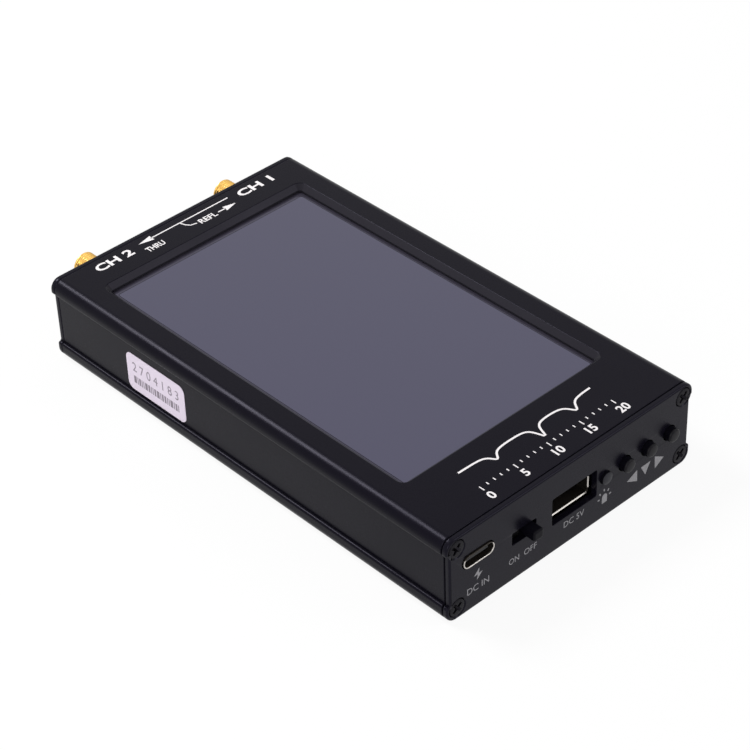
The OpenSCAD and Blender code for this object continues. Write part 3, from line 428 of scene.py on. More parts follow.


# Each finish: colour, colour of its flecks, roughness, height of its grain in mm, then what differs
# A wear colour paints paler edges, part wear and part painted highlight
anodised = {"grainScale": 11000.0, "tint": (0.80, 0.76, 1.0, 1)}
finishes = {
    "satinBlackCase": look((0.0018, 0.0014, 0.0038), (0.0066, 0.0056, 0.0105), 0.28, 0.010, **anodised,
                           specular=0.09, drawn=0.25, wear=(0.03, 0.03, 0.034)),
    # the window bevel: the case's black made about eight times paler, painted light for the light its slope
    # catches
    "bevelPaintedLight": look((0.016, 0.015, 0.019), (0.022, 0.021, 0.026), 0.32, 0.008, **anodised,
                        specular=0.09, drawn=0.4),
    "satinBlackPlate": look((0.0032, 0.0028, 0.0058), (0.0092, 0.0082, 0.0135), 0.255, 0.010, **anodised,
                            specular=0.1, wear=(0.045, 0.045, 0.05)),
    "blackScrew": look((0.0022, 0.0019, 0.0032), (0.0075, 0.007, 0.0095), 0.34, 0.01, spread=0.08,
                       grainScale=6000.0, wear=(0.05, 0.048, 0.05), wearAmount=0.35, specular=0.085,
                       tint=(0.86, 0.82, 1.0, 1)),
    # goldPlate: its rim colour is painted shade towards the silhouette, its wear colour partly a painted
    # highlight
    "goldPlate": look((0.84, 0.50, 0.115), (0.92, 0.60, 0.20), 0.3, 0.006, fleckShare=0.4, spread=0.1,
                      grainScale=5000.0, cloudScale=240.0, wear=(1.0, 0.82, 0.5), wearAmount=0.5,
                      rim=(0.26, 0.135, 0.03), metallic=1.0),
    "socketSteel": look((0.52, 0.49, 0.46), (0.62, 0.59, 0.56), 0.3, 0.005, spread=0.1, grainScale=7000.0,
                        cloudScale=180.0, wear=(0.75, 0.72, 0.68), wearWidth=0.12, metallic=1.0),
    # near-black copy of the socket steel: painted shade inside the sockets and on their shaded upper parts
    "socketShadePaint": look((0.035, 0.03, 0.026), (0.05, 0.045, 0.04), 0.42, 0.006, spread=0.1, metallic=0.8,
                         specular=0.2),
    # the switch frame painted near-black: painted shade in the slot behind the knob
    "switchSteelPaintedShade": look((0.03, 0.03, 0.032), (0.05, 0.05, 0.05), 0.4, 0.006, spread=0.1, metallic=0.6),
    "shieldTin": look((0.55, 0.55, 0.54), (0.66, 0.66, 0.65), 0.33, 0.006, spread=0.1, drawn=0.4,
                      metallic=1.0),
    "knobBlack": look((0.0016, 0.0014, 0.0034), (0.0048, 0.0044, 0.0075), 0.42, 0.02, spread=0.08,
                      grainScale=5000.0, wear=(0.03, 0.03, 0.03), specular=0.07),
    # a paler copy of the knob black for the buttons' fronts: painted light; their sides take the knob black
    # as painted shade
    "buttonBlack": look((0.0050, 0.0045, 0.0065), (0.012, 0.011, 0.0145), 0.38, 0.016, spread=0.08,
                        grainScale=5500.0, wear=(0.04, 0.04, 0.042), specular=0.1),
    "socketBlack": look((0.010, 0.010, 0.011), (0.02, 0.02, 0.022), 0.5, 0.012, specular=0.35),
    "switchBlack": look((0.014, 0.014, 0.014), (0.024, 0.024, 0.024), 0.5, 0.015),
    "insulatorWhite": look((0.80, 0.79, 0.76), (0.86, 0.85, 0.83), 0.42, 0.01,
                           shader={"Subsurface Weight": 0.15, "Subsurface Scale": 0.0006}),
    "plugCream": look((0.72, 0.70, 0.62), (0.78, 0.76, 0.69), 0.45, 0.012),
    "frameWhite": look((0.78, 0.78, 0.78), (0.84, 0.84, 0.84), 0.4, 0.01),
    "flexAmber": look((0.42, 0.19, 0.035), (0.50, 0.25, 0.06), 0.3, 0.008, drawn=0.8),
    "chipBlack": look((0.018, 0.018, 0.019), (0.03, 0.03, 0.031), 0.55, 0.02),
    "leadRed": look((0.36, 0.018, 0.014), (0.44, 0.035, 0.03), 0.42, 0.012),
    "batteryFoil": look((0.60, 0.61, 0.62), (0.70, 0.71, 0.72), 0.3, 0.03, spread=0.12, grainScale=1800.0,
                        metallic=0.85),
    "tapeWhite": look((0.74, 0.74, 0.70), (0.80, 0.80, 0.77), 0.7, 0.02),
    "foamBlack": look((0.012, 0.012, 0.012), (0.03, 0.03, 0.03), 0.9, 0.06, grainScale=3500.0, specular=0.2),
    "boardGreen": look((0.010, 0.085, 0.030), (0.016, 0.11, 0.04), 0.35, 0.03, tracks=(0.02, 0.16, 0.06),
                       shader={"Coat Weight": 0.2}),
    "labelPaper": look((0.70, 0.62, 0.73), (0.76, 0.68, 0.78), 0.5, 0.01, fleckShare=0.35, grainScale=4200.0,
                       specular=0.35),
    "labelInk": look((0.20, 0.17, 0.21), (0.30, 0.26, 0.31), 0.6, 0.004, fleckShare=0.6, grainScale=7000.0),
    "topInk": look((0.80, 0.77, 0.78), (0.68, 0.65, 0.66), 0.55, 0.006, grainScale=8000.0, specular=0.3),
    "plateInk": look((0.255, 0.25, 0.265), (0.205, 0.20, 0.215), 0.55, 0.006, fleckShare=0.6,
                     grainScale=8000.0, specular=0.3),
    "indicatorLens": look((0.020, 0.020, 0.025), (0.030, 0.030, 0.036), 0.45, 0.004, specular=0.15),
}

# The switched-off touch film: each zone has its refractive index and is paler by a factor
film = {
    "colour": (0.010, 0.009, 0.013), "fleck": (0.014, 0.013, 0.018), "tint": (0.65, 0.63, 1.0, 1),
    "roughness": 0.05, "bump": 0.004,
    "zones": {"screenFilm": (2.05, 1.0), "filmBorder": (1.45, 3.4), "filmLine": (1.15, 1.0)},
}
for zone, (ior, paler) in film["zones"].items():
    tones = [tuple(c * paler for c in film[key]) for key in ("colour", "fleck")]
    finishes[zone] = look(*tones, film["roughness"], film["bump"], fleckShare=0.6, grainScale=6000.0,
                          bumpStrength=0.15, smudge=0.05, tint=film["tint"], shader={"IOR": ior})
materials = {name: finish(name, values) for name, values in finishes.items()}
print("materials made:", len(materials))

# Case extrusion; topDrop keeps the prints on the top face inside the case's height
case = {
    "width": 75.0, "height": 22.0, "halfLength": 63.4, "beadRound": 2.6, "stepRound": 0.6, "lowBead": 4.4,
    "highBead": 3.8, "wallX": 36.65, "topDrop": 0.02, "cavityX": 34.9, "floor": 1.8, "ceiling": 20.3,
    "screwX": 34.5, "screwZ": 3.0, "channelR": 2.2, "holeR": 1.1, "edge": 0.22, "ribDepth": 1.0,
    "ribs": ((12.55, 13.55), (15.25, 16.25)),
}
window = {
    "middleY": 4.35, "width": 61.2, "length": 99.7, "corner": 2.1, "bevel": 1.3, "topEdge": 0.12,
    "footEdge": 0.05,
}
caseTop = case["height"] - case["topDrop"]
screwPlaces = [(u, v) for u in (-case["screwX"], case["screwX"])
               for v in (case["screwZ"], case["height"] - case["screwZ"])]


def caseOutline():
    c = named(case)
    half, r, s = c.width / 2, c.beadRound, c.stepRound
    highBead = c.height - c.highBead
    right = arcPoints(half - r, r, r, -90, 0, 12)
    right += arcPoints(half - s, c.lowBead - s, s, 0, 90, 5)
    right += [(c.wallX, c.lowBead), (c.wallX, highBead)]
    right += arcPoints(half - s, highBead + s, s, -90, 0, 5)
    right += arcPoints(half - r, caseTop - r, r, 0, 90, 12)
    return right + [(-u, v) for u, v in reversed(right)]


def cavityOutline():
    # Each screw channel's arc runs from where it leaves the floor or ceiling to where it meets the wall
    c = named(case)

    def turnAt(across, up):
        return math.degrees(math.atan2(up, across))

    rise = c.ceiling - (c.height - c.screwZ)
    wallSide = c.cavityX - c.screwX
    high = turnAt(wallSide, math.sqrt(c.channelR ** 2 - wallSide ** 2))
    drop = c.floor - c.screwZ
    low = turnAt(-math.sqrt(c.channelR ** 2 - drop ** 2), drop) % 360
    last = turnAt(-math.sqrt(c.channelR ** 2 - rise ** 2), rise)
    right = arcPoints(c.screwX, c.screwZ, c.channelR, low, high, 12)
    for bottom, top in c.ribs:
        inner = c.cavityX - c.ribDepth
        right += [(c.cavityX, bottom), (inner, bottom), (inner, top), (c.cavityX, top)]
    right += arcPoints(c.screwX, c.height - c.screwZ, c.channelR, -high, last, 12)
    return right + [(-u, v) for u, v in reversed(right)]


def makeCase():
    c, w = named(case), named(window)
    bm = bmesh.new()
    length = 2 * c.halfLength
    place = onFront(-c.halfLength)
    outline, cavity = caseOutline(), cavityOutline()
    topSide, ceilingSide = len(outline) // 2 - 1, len(cavity) // 2 - 1
    rings = [ring(bm, place, insetLoop(outline, inset), down) for inset, down in edgeSteps(c.edge, length)]
    middle = len(rings) // 2
    joinRings(bm, rings[:middle])
    joinRings(bm, rings[middle - 1:middle + 1], skip=topSide)
    joinRings(bm, rings[middle:])
    walls = [ring(bm, place, cavity, down) for down in (0, length)]
    joinRings(bm, walls, skip=ceilingSide)
    ends = [[rings[0], walls[0]], [rings[-1], walls[1]]]
    for u, v in screwPlaces:
        hole = [ring(bm, place, circleLoop(u, v, c.holeR, 24), down) for down in (0, length)]
        joinRings(bm, hole)
        for end, mouth in zip(ends, hole):
            end.append(mouth)
    for end in ends:
        fillCap(bm, end)

    # Window: rounded lip, 45 degree slope, then the short upright edge over the film
    setback = math.tan(math.radians(45 / 2))
    lipR, footR = w.topEdge / setback, w.footEdge / setback
    steps = arcPoints(-w.topEdge, lipR, lipR, -90, -45, 4)
    slope = len(steps)
    steps += arcPoints(w.bevel - footR, w.bevel + w.footEdge, footR, -45, 0, 3)
    steps.append((w.bevel, c.height - c.ceiling))
    opening = roundedLoop(0, w.middleY, w.width, w.length, w.corner, 8)
    top = [ring(bm, onTop(caseTop), insetLoop(opening, inset), down) for inset, down in steps]
    joinRings(bm, top[:slope])
    # the slope and the upright edge take the paler bevel finish, painted light
    for face in joinRings(bm, top[slope - 1:]):
        face.material_index = 1
    fillCap(bm, [sideCorners(rings[middle - 1], rings[middle], topSide), top[0]])
    fillCap(bm, [sideCorners(*walls, ceilingSide), top[-1]])
    makePiece("caseExtrusion", bm, ["satinBlackCase", "bevelPaintedLight"], ["case_extrusion"])


makeCase()
print("case made")

# End plates; the front one's rim falls back behind it, which leaves a dark line round the case end
plates = {
    "frontY": -65.0, "rearY": 65.0, "thick": 1.6, "edge": 0.45, "holeEdge": 0.1,
    "notchWide": 0.4, "notchDeep": 0.35, "notchEdge": 0.05,
    "headR": 2.45, "shankR": 1.1, "sinkWide": 0.06, "sinkDeep": 0.05,
    "chargePort": (-28.4, 13.77, 9.34, 3.66, 1.829), "switchSlot": (-14.89, 11.4, 7.2, 3.3, 0.35),
    "powerPort": (0.4, 11.25, 13.7, 7.3, 0.45), "indicator": (9.9, 11.3, 1.6),
    "buttons": (16.1, 23.25, 30.4), "buttonZ": 11.5, "buttonR": 1.95,
    "ports": (-21.7, 21.7), "portZ": 14.4, "portR": 3.225,
}


def makePlate(name, place, holes, node, notched):
    p = named(plates)
    steps = edgeSteps(p.edge, p.thick)
    if notched:
        low = p.thick - p.notchWide
        steps = steps[:len(steps) // 2] + [(0, low - p.notchEdge), (p.notchEdge, low), (p.notchDeep, low),
                                           (p.notchDeep, p.thick)]
    walls = [[(insetLoop(caseOutline(), inset), down) for inset, down in steps]]
    walls += [roundedWall(hole, -1, p.holeEdge, p.thick) for hole in holes]
    for u, v in screwPlaces:
        head, shank = (circleLoop(u, v, radius, 32) for radius in (p.headR, p.shankR))
        walls.append([(insetLoop(head, -p.sinkWide), 0), (head, p.sinkDeep), (shank, p.thick)])
    bm = bmesh.new()
    addWalls(bm, place, walls)
    makePiece(name, bm, ["satinBlackPlate"], [node])


def makePlates():
    p = named(plates)
    front = [roundedLoop(*p.chargePort, 8), roundedLoop(*p.switchSlot, 4), roundedLoop(*p.powerPort, 4),
             circleLoop(*p.indicator, 36)] + [circleLoop(u, p.buttonZ, p.buttonR, 40) for u in p.buttons]
    rear = [circleLoop(-u, p.portZ, p.portR) for u in p.ports]
    makePlate("frontPlate", onFront(p.frontY), front, "front_plate", True)
    makePlate("rearPlate", onRear(p.rearY), rear, "rear_plate", False)


makePlates()
print("end plates made")

# Plate screws: countersunk cross-head screws, flush in the plates
screws = {
    "headR": 2.16, "headDeep": 1.3, "shankR": 1.05, "long": 7.0, "sunk": 0.06, "rim": 0.2,
    "rimTurns": (0, 0.35, 0.7, 1.05, 1.4), "side": 0.45, "sideIn": 0.12, "neck": 0.15, "crown": 0.02,
    "crownShare": 0.55, "crownEase": 0.6, "tipLong": 0.5, "tipShare": 0.7, "turns": (38, 52, 41, 47),
}
recess = {
    "armLong": 1.6, "armHalf": 0.45, "armNarrow": 0.82, "deep": 1.0, "above": 0.2, "flare": 1.05,
    "taper": 0.5, "rootTaper": 0.75, "tip": 0.12,
}


def carved(body, cutter):
    # The mesh of one bmesh less another
    pair = [bpy.data.objects.new("carving", newMesh("carving", one)) for one in (body, cutter)]
    for one in pair:
        scene.collection.objects.link(one)
    carve = pair[0].modifiers.new("recess", "BOOLEAN")
    carve.object, carve.operation, carve.solver = pair[1], "DIFFERENCE", "EXACT"
    bpy.context.view_layer.update()
    mesh = bpy.data.meshes.new_from_object(pair[0].evaluated_get(bpy.context.evaluated_depsgraph_get()))
    for one in pair:
        bpy.data.objects.remove(one)
    return mesh


def makeScrewMesh():
    # One screw along +Z with its face at z = 0; the cross recess is cut with a tapered cross
    s, r = named(screws), named(recess)
    blank = bmesh.new()
    profile = [(0, s.sunk - s.crown), (s.headR * s.crownShare, s.sunk - s.crown * s.crownEase)]
    profile += [(s.headR - s.rim * (1 - math.sin(a)), s.sunk + s.rim * (1 - math.cos(a))) for a in s.rimTurns]
    profile += [(s.headR - s.sideIn, s.side), (s.shankR + s.sideIn, s.headDeep - s.sideIn / 2),
                (s.shankR, s.headDeep + s.neck), (s.shankR, s.long - s.tipLong),
                (s.shankR * s.tipShare, s.long), (0, s.long)]
    turned(blank, lambda u, v, depth: (u, v, -depth), profile, 40)

    corners = []
    for turn in range(4):
        c, d = math.cos(turn * math.pi / 2), math.sin(turn * math.pi / 2)
        for u, v in ((r.armHalf, r.armHalf), (r.armLong, r.armHalf * r.armNarrow),
                     (r.armLong, -r.armHalf * r.armNarrow)):
            corners.append((u * c + v * d, -u * d + v * c))
    corners.sort(key=lambda p: math.atan2(p[1], p[0]))
    cutter = bmesh.new()
    upper = [cutter.verts.new((u * r.flare, v * r.flare, r.above)) for u, v in corners]
    lower = []
    for u, v in corners:
        narrowing = r.rootTaper if abs(v) < r.armHalf * 1.1 else r.taper
        lower.append(cutter.verts.new((u * r.taper, v * narrowing, -r.deep)))
    joinRings(cutter, [upper, lower])
    cutter.faces.new(upper)
    tip = cutter.verts.new((0, 0, -r.deep - r.tip))
    for i in range(len(lower)):
        cutter.faces.new((lower[i], lower[(i + 1) % len(lower)], tip))
    return carved(blank, cutter)


screwMesh = makeScrewMesh()


def makeScrews(name, faceY, facing, node):
    bm = bmesh.new()
    for turn, (u, v) in zip(screws["turns"], screwPlaces):
        before = len(bm.verts)
        bm.from_mesh(screwMesh)
        bm.verts.ensure_lookup_table()
        put = (Matrix.Translation((u, faceY, v)) @ Matrix.Rotation(math.radians(90 * facing), 4, "X")
               @ Matrix.Rotation(math.radians(turn), 4, "Z"))
        bmesh.ops.transform(bm, matrix=put, verts=bm.verts[before:])
    makePiece(name, bm, ["blackScrew"], [node], sharp=30)


makeScrews("frontPlateScrews", plates["frontY"], 1, "front_plate_screws")
makeScrews("rearPlateScrews", plates["rearY"], -1, "rear_plate_screws")
print("screws made")

# Screen: touch film under the window, with a paler band round its edge and a thin dark line inside that band,
# and its gasket
screen = {
    "width": 63.9, "length": 103.9, "bottom": 18.95, "top": 19.95, "edge": 0.12, "corner": 0.6,
    "gasketTop": 20.3, "gasketWide": 1.7, "gasketEdge": 0.05, "borderWide": 56.9, "borderLong": 95.2,
    "borderY": 3.8, "lineWide": 0.14,
}


def makeScreen():
    s = named(screen)
    bm = bmesh.new()
    place = onTop(s.top)
    outer = roundedLoop(0, window["middleY"], s.width, s.length, s.corner, 4)
    rings = [ring(bm, place, loop, down) for loop, down in roundedWall(outer, 1, s.edge, s.top - s.bottom)]
    joinRings(bm, rings)
    fillCap(bm, [rings[-1]])
    border = roundedLoop(0, s.borderY, s.borderWide, s.borderLong, s.corner, 4)
    edges = [rings[0], ring(bm, place, border, 0), ring(bm, place, insetLoop(border, s.lineWide), 0)]
    for index, zone in ((1, edges[:2]), (2, edges[1:]), (0, edges[2:])):
        before = len(bm.faces)
        fillCap(bm, zone)
        paint(bm, index, before)
    makePiece("touchFilm", bm, ["screenFilm", "filmBorder", "filmLine"], ["touch_panel"])
    bm = bmesh.new()
    shown = [side - 2 * s.gasketWide for side in (s.width, s.length)]
    inner = roundedLoop(0, window["middleY"], *shown, s.corner, 4)
    roundedPrism(bm, onTop(s.gasketTop), outer, s.gasketTop - s.top, holes=[inner], edge=s.gasketEdge)
    makePiece("windowGasket", bm, ["foamBlack"], ["screen_gasket"])


makeScreen()
print("screen made")

# Sockets
chargeSocket = {
    "x": -28.4, "z": 13.77, "width": 8.94, "height": 3.26, "wall": 0.3, "corner": 1.629, "mouthY": -65.35,
    "long": 7.4, "edge": 0.12, "brightDeep": 0.3, "dullAbove": 0.3,
    "tongueWide": 6.7, "tongueThick": 0.7, "tongueBack": 0.8, "tongueEdge": 0.16, "tongueSunk": 0.1,
    "block": 2.0, "blockEdge": 0.05, "pads": 12, "padPitch": 0.5, "padWide": 0.26, "padThick": 0.06,
    "padBack": 0.5, "padEdge": 0.02,
    "tabX": 3.98, "tabZ": 15.35, "tabWide": 2.28, "tabThick": 0.3, "tabEdge": 0.06,
    "tabs": ((-62.3, -61.1), (-59.75, -58.55)),
}
powerSocket = {
    "x": 0.4, "z": 10.75, "width": 13.1, "height": 5.7, "wall": 0.3, "corner": 0.55, "mouthY": -62.9,
    "long": 14.0, "edge": 0.12, "brightDeep": 0.3, "dullAbove": -0.4,
    "tongueWide": 11.1, "tongueLow": 10.85, "tongueThick": 1.8, "tongueBack": 1.0, "tongueEdge": 0.3,
    "tongueSunk": 0.1, "block": 3.0, "blockEdge": 0.05,
    "springs": (-3.45, -1.15, 1.15, 3.45), "springWide": 1.0, "springThick": 0.14, "springEdge": 0.03,
    "springPath": ((1.0, 0.02), (1.8, -0.1), (3.2, -0.2), (4.6, -0.2), (6.2, -0.06)), "springEnd": -0.04,
    "lipOut": 0.14, "lipIn": 0.05, "lipTall": 0.23, "lipRise": 0.06, "lipRun": 0.3, "lipRoot": 0.05,
    "lipEdge": 0.02, "lipGap": 0.75, "lipSideGap": 1.35,
}


def shellInside(s, steps):
    return roundedLoop(s.x, s.z, s.width - 2 * s.wall, s.height - 2 * s.wall, s.corner - s.wall, steps)


def makeShell(bm, s, shadeWhere):
    # A pressed shell, steel round its mouth; from a little way inside, and where the given test says, it
    # takes painted shade, a near-black copy of the steel
    place = onFront(s.mouthY)
    outer, inner = roundedLoop(s.x, s.z, s.width, s.height, s.corner, 8), shellInside(s, 8)
    steps = edgeSteps(s.edge, s.long)
    outside = [ring(bm, place, insetLoop(outer, inset), down) for inset, down in steps]
    middle = len(steps) // 2
    steps.insert(middle, (0, s.brightDeep))
    inside = [ring(bm, place, insetLoop(inner, -inset), down) for inset, down in steps]
    joinRings(bm, outside)
    joinRings(bm, inside[:middle + 1])
    # the inside walls further in than that depth take painted shade
    for face in joinRings(bm, inside[middle:]):
        face.material_index = 1
    fillCap(bm, [outside[0], inside[0]])
    fillCap(bm, [outside[-1], inside[-1]])
    paint(bm, 1, where=shadeWhere)


def makeTongue(bm, s, z, blockSteps, slabSteps):
    # The tongue and the moulded block that carries it at the shell's back; returns the block's front
    blockY = s.mouthY + s.long - s.block
    nearY = s.mouthY + s.tongueBack
    addSlab(bm, s.x, z, s.tongueWide, s.tongueThick, nearY, blockY + s.tongueSunk, s.tongueEdge, slabSteps)
    roundedPrism(bm, onFront(blockY), shellInside(s, blockSteps), s.block, edge=s.blockEdge)
    return blockY


def makeChargeSocket():
    s = named(chargeSocket)
    bm = bmesh.new()
    # the upper part of the shell takes painted shade
    makeShell(bm, s, lambda c: c.z > s.z + s.height * s.dullAbove)
    for side in (-1, 1):
        for nearY, farY in s.tabs:
            addSlab(bm, s.x + side * s.tabX, s.tabZ, s.tabWide, s.tabThick, nearY, farY, s.tabEdge)
    makePiece("chargeSocketShell", bm, ["socketSteel", "socketShadePaint"], ["usb_c_shell"])
    bm = bmesh.new()
    blockY = makeTongue(bm, s, s.z, 8, 3)
    plastic = len(bm.faces)
    for side in (-1, 1):
        for i in range(s.pads):
            addSlab(bm, s.x + (i - (s.pads - 1) / 2) * s.padPitch, s.z + side * s.tongueThick / 2, s.padWide,
                    s.padThick, s.mouthY + s.tongueBack + s.padBack, blockY, s.padEdge)
    paint(bm, 1, plastic)
    makePiece("chargeSocketTongue", bm, ["socketBlack", "goldPlate"], ["usb_c_tongue"])


def makePowerSocket():
    s = named(powerSocket)
    bm = bmesh.new()
    # painted shade on the whole shell but its lower part between the side gaps, so the lower lip keeps the
    # steel
    makeShell(bm, s, lambda c: c.z > s.z + s.height * s.dullAbove or abs(c.x - s.x) > s.width / 2 - s.lipGap)
    # the mouth's flared lips, below and at both sides, with open corners between them
    left, right, low = s.x - s.width / 2, s.x + s.width / 2, s.z - s.height / 2
    near, far, rise = s.mouthY - s.lipOut, s.mouthY + s.lipIn, s.wall + s.lipRise
    section = [(near, rise - s.lipTall), (far, rise), (far + s.lipRun, s.wall - s.lipRoot),
               (far, rise - s.lipTall)]

    def alongWidth(u, v, depth):
        return left + s.lipGap + depth, u, low + v

    def upLeft(u, v, depth):
        return left + v, u, low + s.lipSideGap + depth

    def upRight(u, v, depth):
        return right - v, u, low + s.lipSideGap + depth

    roundedPrism(bm, alongWidth, section, s.width - 2 * s.lipGap, edge=s.lipEdge)
    for place in (upLeft, upRight):
        roundedPrism(bm, place, section, s.height - 2 * s.lipSideGap, edge=s.lipEdge)
    makePiece("powerSocketShell", bm, ["socketSteel", "socketShadePaint"], ["usb_a_shell"])
    bm = bmesh.new()
    blockY = makeTongue(bm, s, s.tongueLow + s.tongueThick / 2, 4, 4)
    makePiece("powerSocketTongue", bm, ["socketBlack"], ["usb_a_tongue"])
    bm = bmesh.new()
    start = s.mouthY + s.tongueBack
    under = [(start + run, s.tongueLow + up) for run, up in s.springPath]
    under.append((blockY, s.tongueLow + s.springEnd))
    loop = under + [(y, z + s.springThick) for y, z in reversed(under)]
    for x in s.springs:
        place = lambda u, v, depth, x=x: (s.x + x - s.springWide / 2 + depth, u, v)
        roundedPrism(bm, place, loop, s.springWide, edge=s.springEdge, steps=2)
    makePiece("powerSocketContacts", bm, ["goldPlate"], ["usb_a_contacts"])


makeChargeSocket()
makePowerSocket()
print("sockets made")

# Slide switch knob: the block that shows, its neck and the slider inside the frame
knob = {
    "x": -13.44, "z": 11.4, "width": 2.9, "height": 2.6, "frontY": -67.9, "backY": -63.0, "round": 0.6,
    "faceRound": 0.48, "neckWide": 1.6, "neckEdge": 0.05, "sliderY": -62.1, "sliderWide": 4.0,
    "sliderThick": 1.6,
}


def cadHeight(node):
    low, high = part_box(node)
    return (high[2] - low[2]) / mm


def makeKnob():
    k = named(knob)
    bm = bmesh.new()
    loop = roundedLoop(k.x, k.z, k.width, k.height, k.round)
    roundedPrism(bm, onFront(k.frontY), loop, k.backY - k.frontY, edge=k.faceRound, steps=6)
    addSlab(bm, k.x, k.z, k.neckWide, k.neckWide, k.backY - k.neckEdge, k.sliderY + k.neckEdge, k.neckEdge)
    addSlab(bm, k.x, k.z, k.sliderWide, cadHeight("power_switch_knob"), k.sliderY, k.sliderY + k.sliderThick)
    makePiece("switchKnob", bm, ["knobBlack"], ["power_switch_knob"], body="power_switch_slider")


makeKnob()

# Push buttons: a cap with a soft rim, its stem and the collar inside the push switch
button = {
    "z": 11.5, "capR": 1.7, "frontY": -66.8, "capBackY": -63.3, "rim": 0.5, "dome": 0.06, "crownR": 0.68,
    "crownDeep": 0.021, "backEdge": 0.1, "stemR": 1.2, "collarR": 1.6, "collarY": -61.85, "collarThick": 0.6,
}


def makeButton(name, x, node, body):
    b = named(button)
    bm = bmesh.new()
    back, collar = b.capBackY - b.frontY, b.collarY - b.frontY
    end = collar + b.collarThick
    profile = [(0, 0), (b.crownR, b.crownDeep)] + roundedCorner(b.capR, b.dome, b.rim, 5)
    profile += [(b.capR, back - b.backEdge), (b.capR - b.backEdge, back), (b.stemR, back), (b.stemR, collar),
                (b.collarR, collar), (b.collarR, end), (0, end)]
    turned(bm, onFront(b.frontY), profile, 56, x, b.z)
    # the front and its rim keep the paler button black, and the sides, stem and collar take the darker knob
    # black: painted light and shade on one cap
    paint(bm, 1, where=lambda c: c.y > b.frontY + b.dome + b.rim)
    makePiece(name, bm, ["buttonBlack", "knobBlack"], [node], body=body)


for side, x in zip(("left", "middle", "right"), plates["buttons"]):
    makeButton(side + "Button", x, "button_" + side, side + "_button")
print("knob and buttons made")

# Indicator: a round-nosed lens and two bent legs
indicator = {
    "x": 9.9, "z": 11.3, "r": 1.5, "tipY": -66.0, "nose": 0.35, "long": 6.0, "legWide": 0.5, "legPitch": 2.0,
    "legRun": 1.0, "legTop": 13.6, "legEdge": 0.05,
}


def makeIndicator():
    i = named(indicator)
    bm = bmesh.new()
    turns = [math.radians(a) for a in range(10, 91, 10)]
    profile = [(0, 0)] + [(i.r * math.sin(a), i.nose * (1 - math.cos(a))) for a in turns]
    turned(bm, onFront(i.tipY), profile + [(i.r, i.long), (0, i.long)], 40, i.x, i.z)
    lens = len(bm.faces)
    backY, foot = i.tipY + i.long, i.z - i.legWide / 2
    turnY, farY = backY + i.legRun, backY + i.legRun + i.legWide
    for x in (i.x - i.legPitch / 2, i.x + i.legPitch / 2):
        addSlab(bm, x, i.z, i.legWide, i.legWide, backY, farY, i.legEdge)
        addSlab(bm, x, (foot + i.legTop) / 2, i.legWide, i.legTop - foot, turnY, farY, i.legEdge)
    # the lens behind its nose takes the black knob finish: painted shade on the lens sides in and before the
    # hole
    paint(bm, 2, 0, lens, lambda c: c.y > i.tipY + i.nose)
    paint(bm, 1, lens)
    makePiece("indicatorLens", bm, ["indicatorLens", "socketSteel", "knobBlack"], ["indicator_led"])


makeIndicator()

# Test ports: threaded barrel with its flange and board legs, insulator, contact, washer and nut.
# Profiles are (radius, y) pairs; mouthEdge and tipEdge are (radius, y) steps back from the mouth and the tip.
port = {
    "z": 14.4, "threadR": 3.175, "threadDeep": 0.26, "pitch": 0.7056, "rowsPerTurn": 8, "around": 64,
    "crestSlope": 1.3, "crestFlat": 0.12, "crestLess": 0.001, "tipFade": (0.25, 0.5), "grooveFade": 0.35,
    "flangeY": 61.7, "flange": 6.35, "flangeThick": 1.7, "flangeCorner": 0.2, "flangeEdge": 0.08,
    "flangeGap": 0.03, "legLong": 4.4, "leg": 1.0, "legSunk": 0.1, "boardThick": 1.6,
    "boreR": 2.06, "boreEndY": 71.55, "mouthR": 2.31, "mouthEdge": ((0, 0.15), (0.06, 0.04), (0.15, 0)),
    "tipY": 73.5, "tipEdge": ((0.42, 0), (0.25, 0.06), (0.09, 0.2)), "threadStart": 0.28,
    "grooveY": 67.5, "groove": 0.6, "grooveR": 2.7, "grooveSlope": (0.12, 0.1),
    "rootEdge": ((0.25, 67.38), (0.05, 67.15), (0.02, 62.0), (0.02, 61.7)),
    "insulator": ((0.655, 61.7), (0.655, 71.52), (0.715, 71.55), (1.96, 71.55), (2.04, 71.47), (2.04, 61.7)),
    "contact": ((0, 68.55), (0.46, 68.55), (0.46, 71.43), (0.52, 71.53), (0.585, 71.55), (0.635, 71.49),
                (0.635, 61.7), (0.4, 61.7), (0.4, 59.0), (0.3, 58.9), (0, 58.9)),
    "washer": ((3.225, 65.0), (3.225, 65.5), (4.22, 65.5), (4.276, 65.476), (4.3, 65.42), (4.3, 65.08),
               (4.22, 65.0)),
    "nutFlats": 8.0, "nutBoreR": 3.225, "nutStartY": 65.5, "nutEndY": 67.5, "nutBoreEdge": 0.2,
    "nutFaceLess": 0.12, "nutEdge": 0.05, "nutCornerLess": 0.1, "nutChamfer": 32, "nutChamferIn": 0.02,
}


def threadRadius(angle, y):
    # A helical V thread with flat crests, fading out at the barrel's tip and at the groove
    p = named(port)
    turn = (y / p.pitch + angle / (2 * math.pi)) % 1
    wave = min(1.0, max(0.0, abs(turn * 2 - 1) * p.crestSlope - p.crestFlat))
    out, run = p.tipFade
    fade = min(1.0, max(0.0, (p.tipY - out - y) / run), max(0.0, (y - p.grooveY - p.groove) / p.grooveFade))
    return p.threadR - p.threadDeep * (1 - wave) * fade - p.crestLess


def barrelProfile():
    p = named(port)
    barrel = [(p.boreR, p.flangeY), (p.boreR, p.boreEndY), (p.mouthR, p.boreEndY)]
    barrel += [(p.mouthR + out, p.tipY - back) for out, back in p.mouthEdge]
    barrel += [(p.threadR - inward, p.tipY - back) for inward, back in p.tipEdge]
    start, end = p.tipY - p.threadStart, p.grooveY + p.groove
    rows = round((start - end) / p.pitch * p.rowsPerTurn)
    for i in range(rows + 1):
        y = start - (start - end) * i / rows
        barrel.append(lambda angle, y=y: (threadRadius(angle, y), y))
    inner, outer = p.grooveSlope
    barrel += [(p.grooveR, end - inner), (p.grooveR, p.grooveY - outer)]
    return barrel + [(p.threadR - inward, y) for inward, y in p.rootEdge]


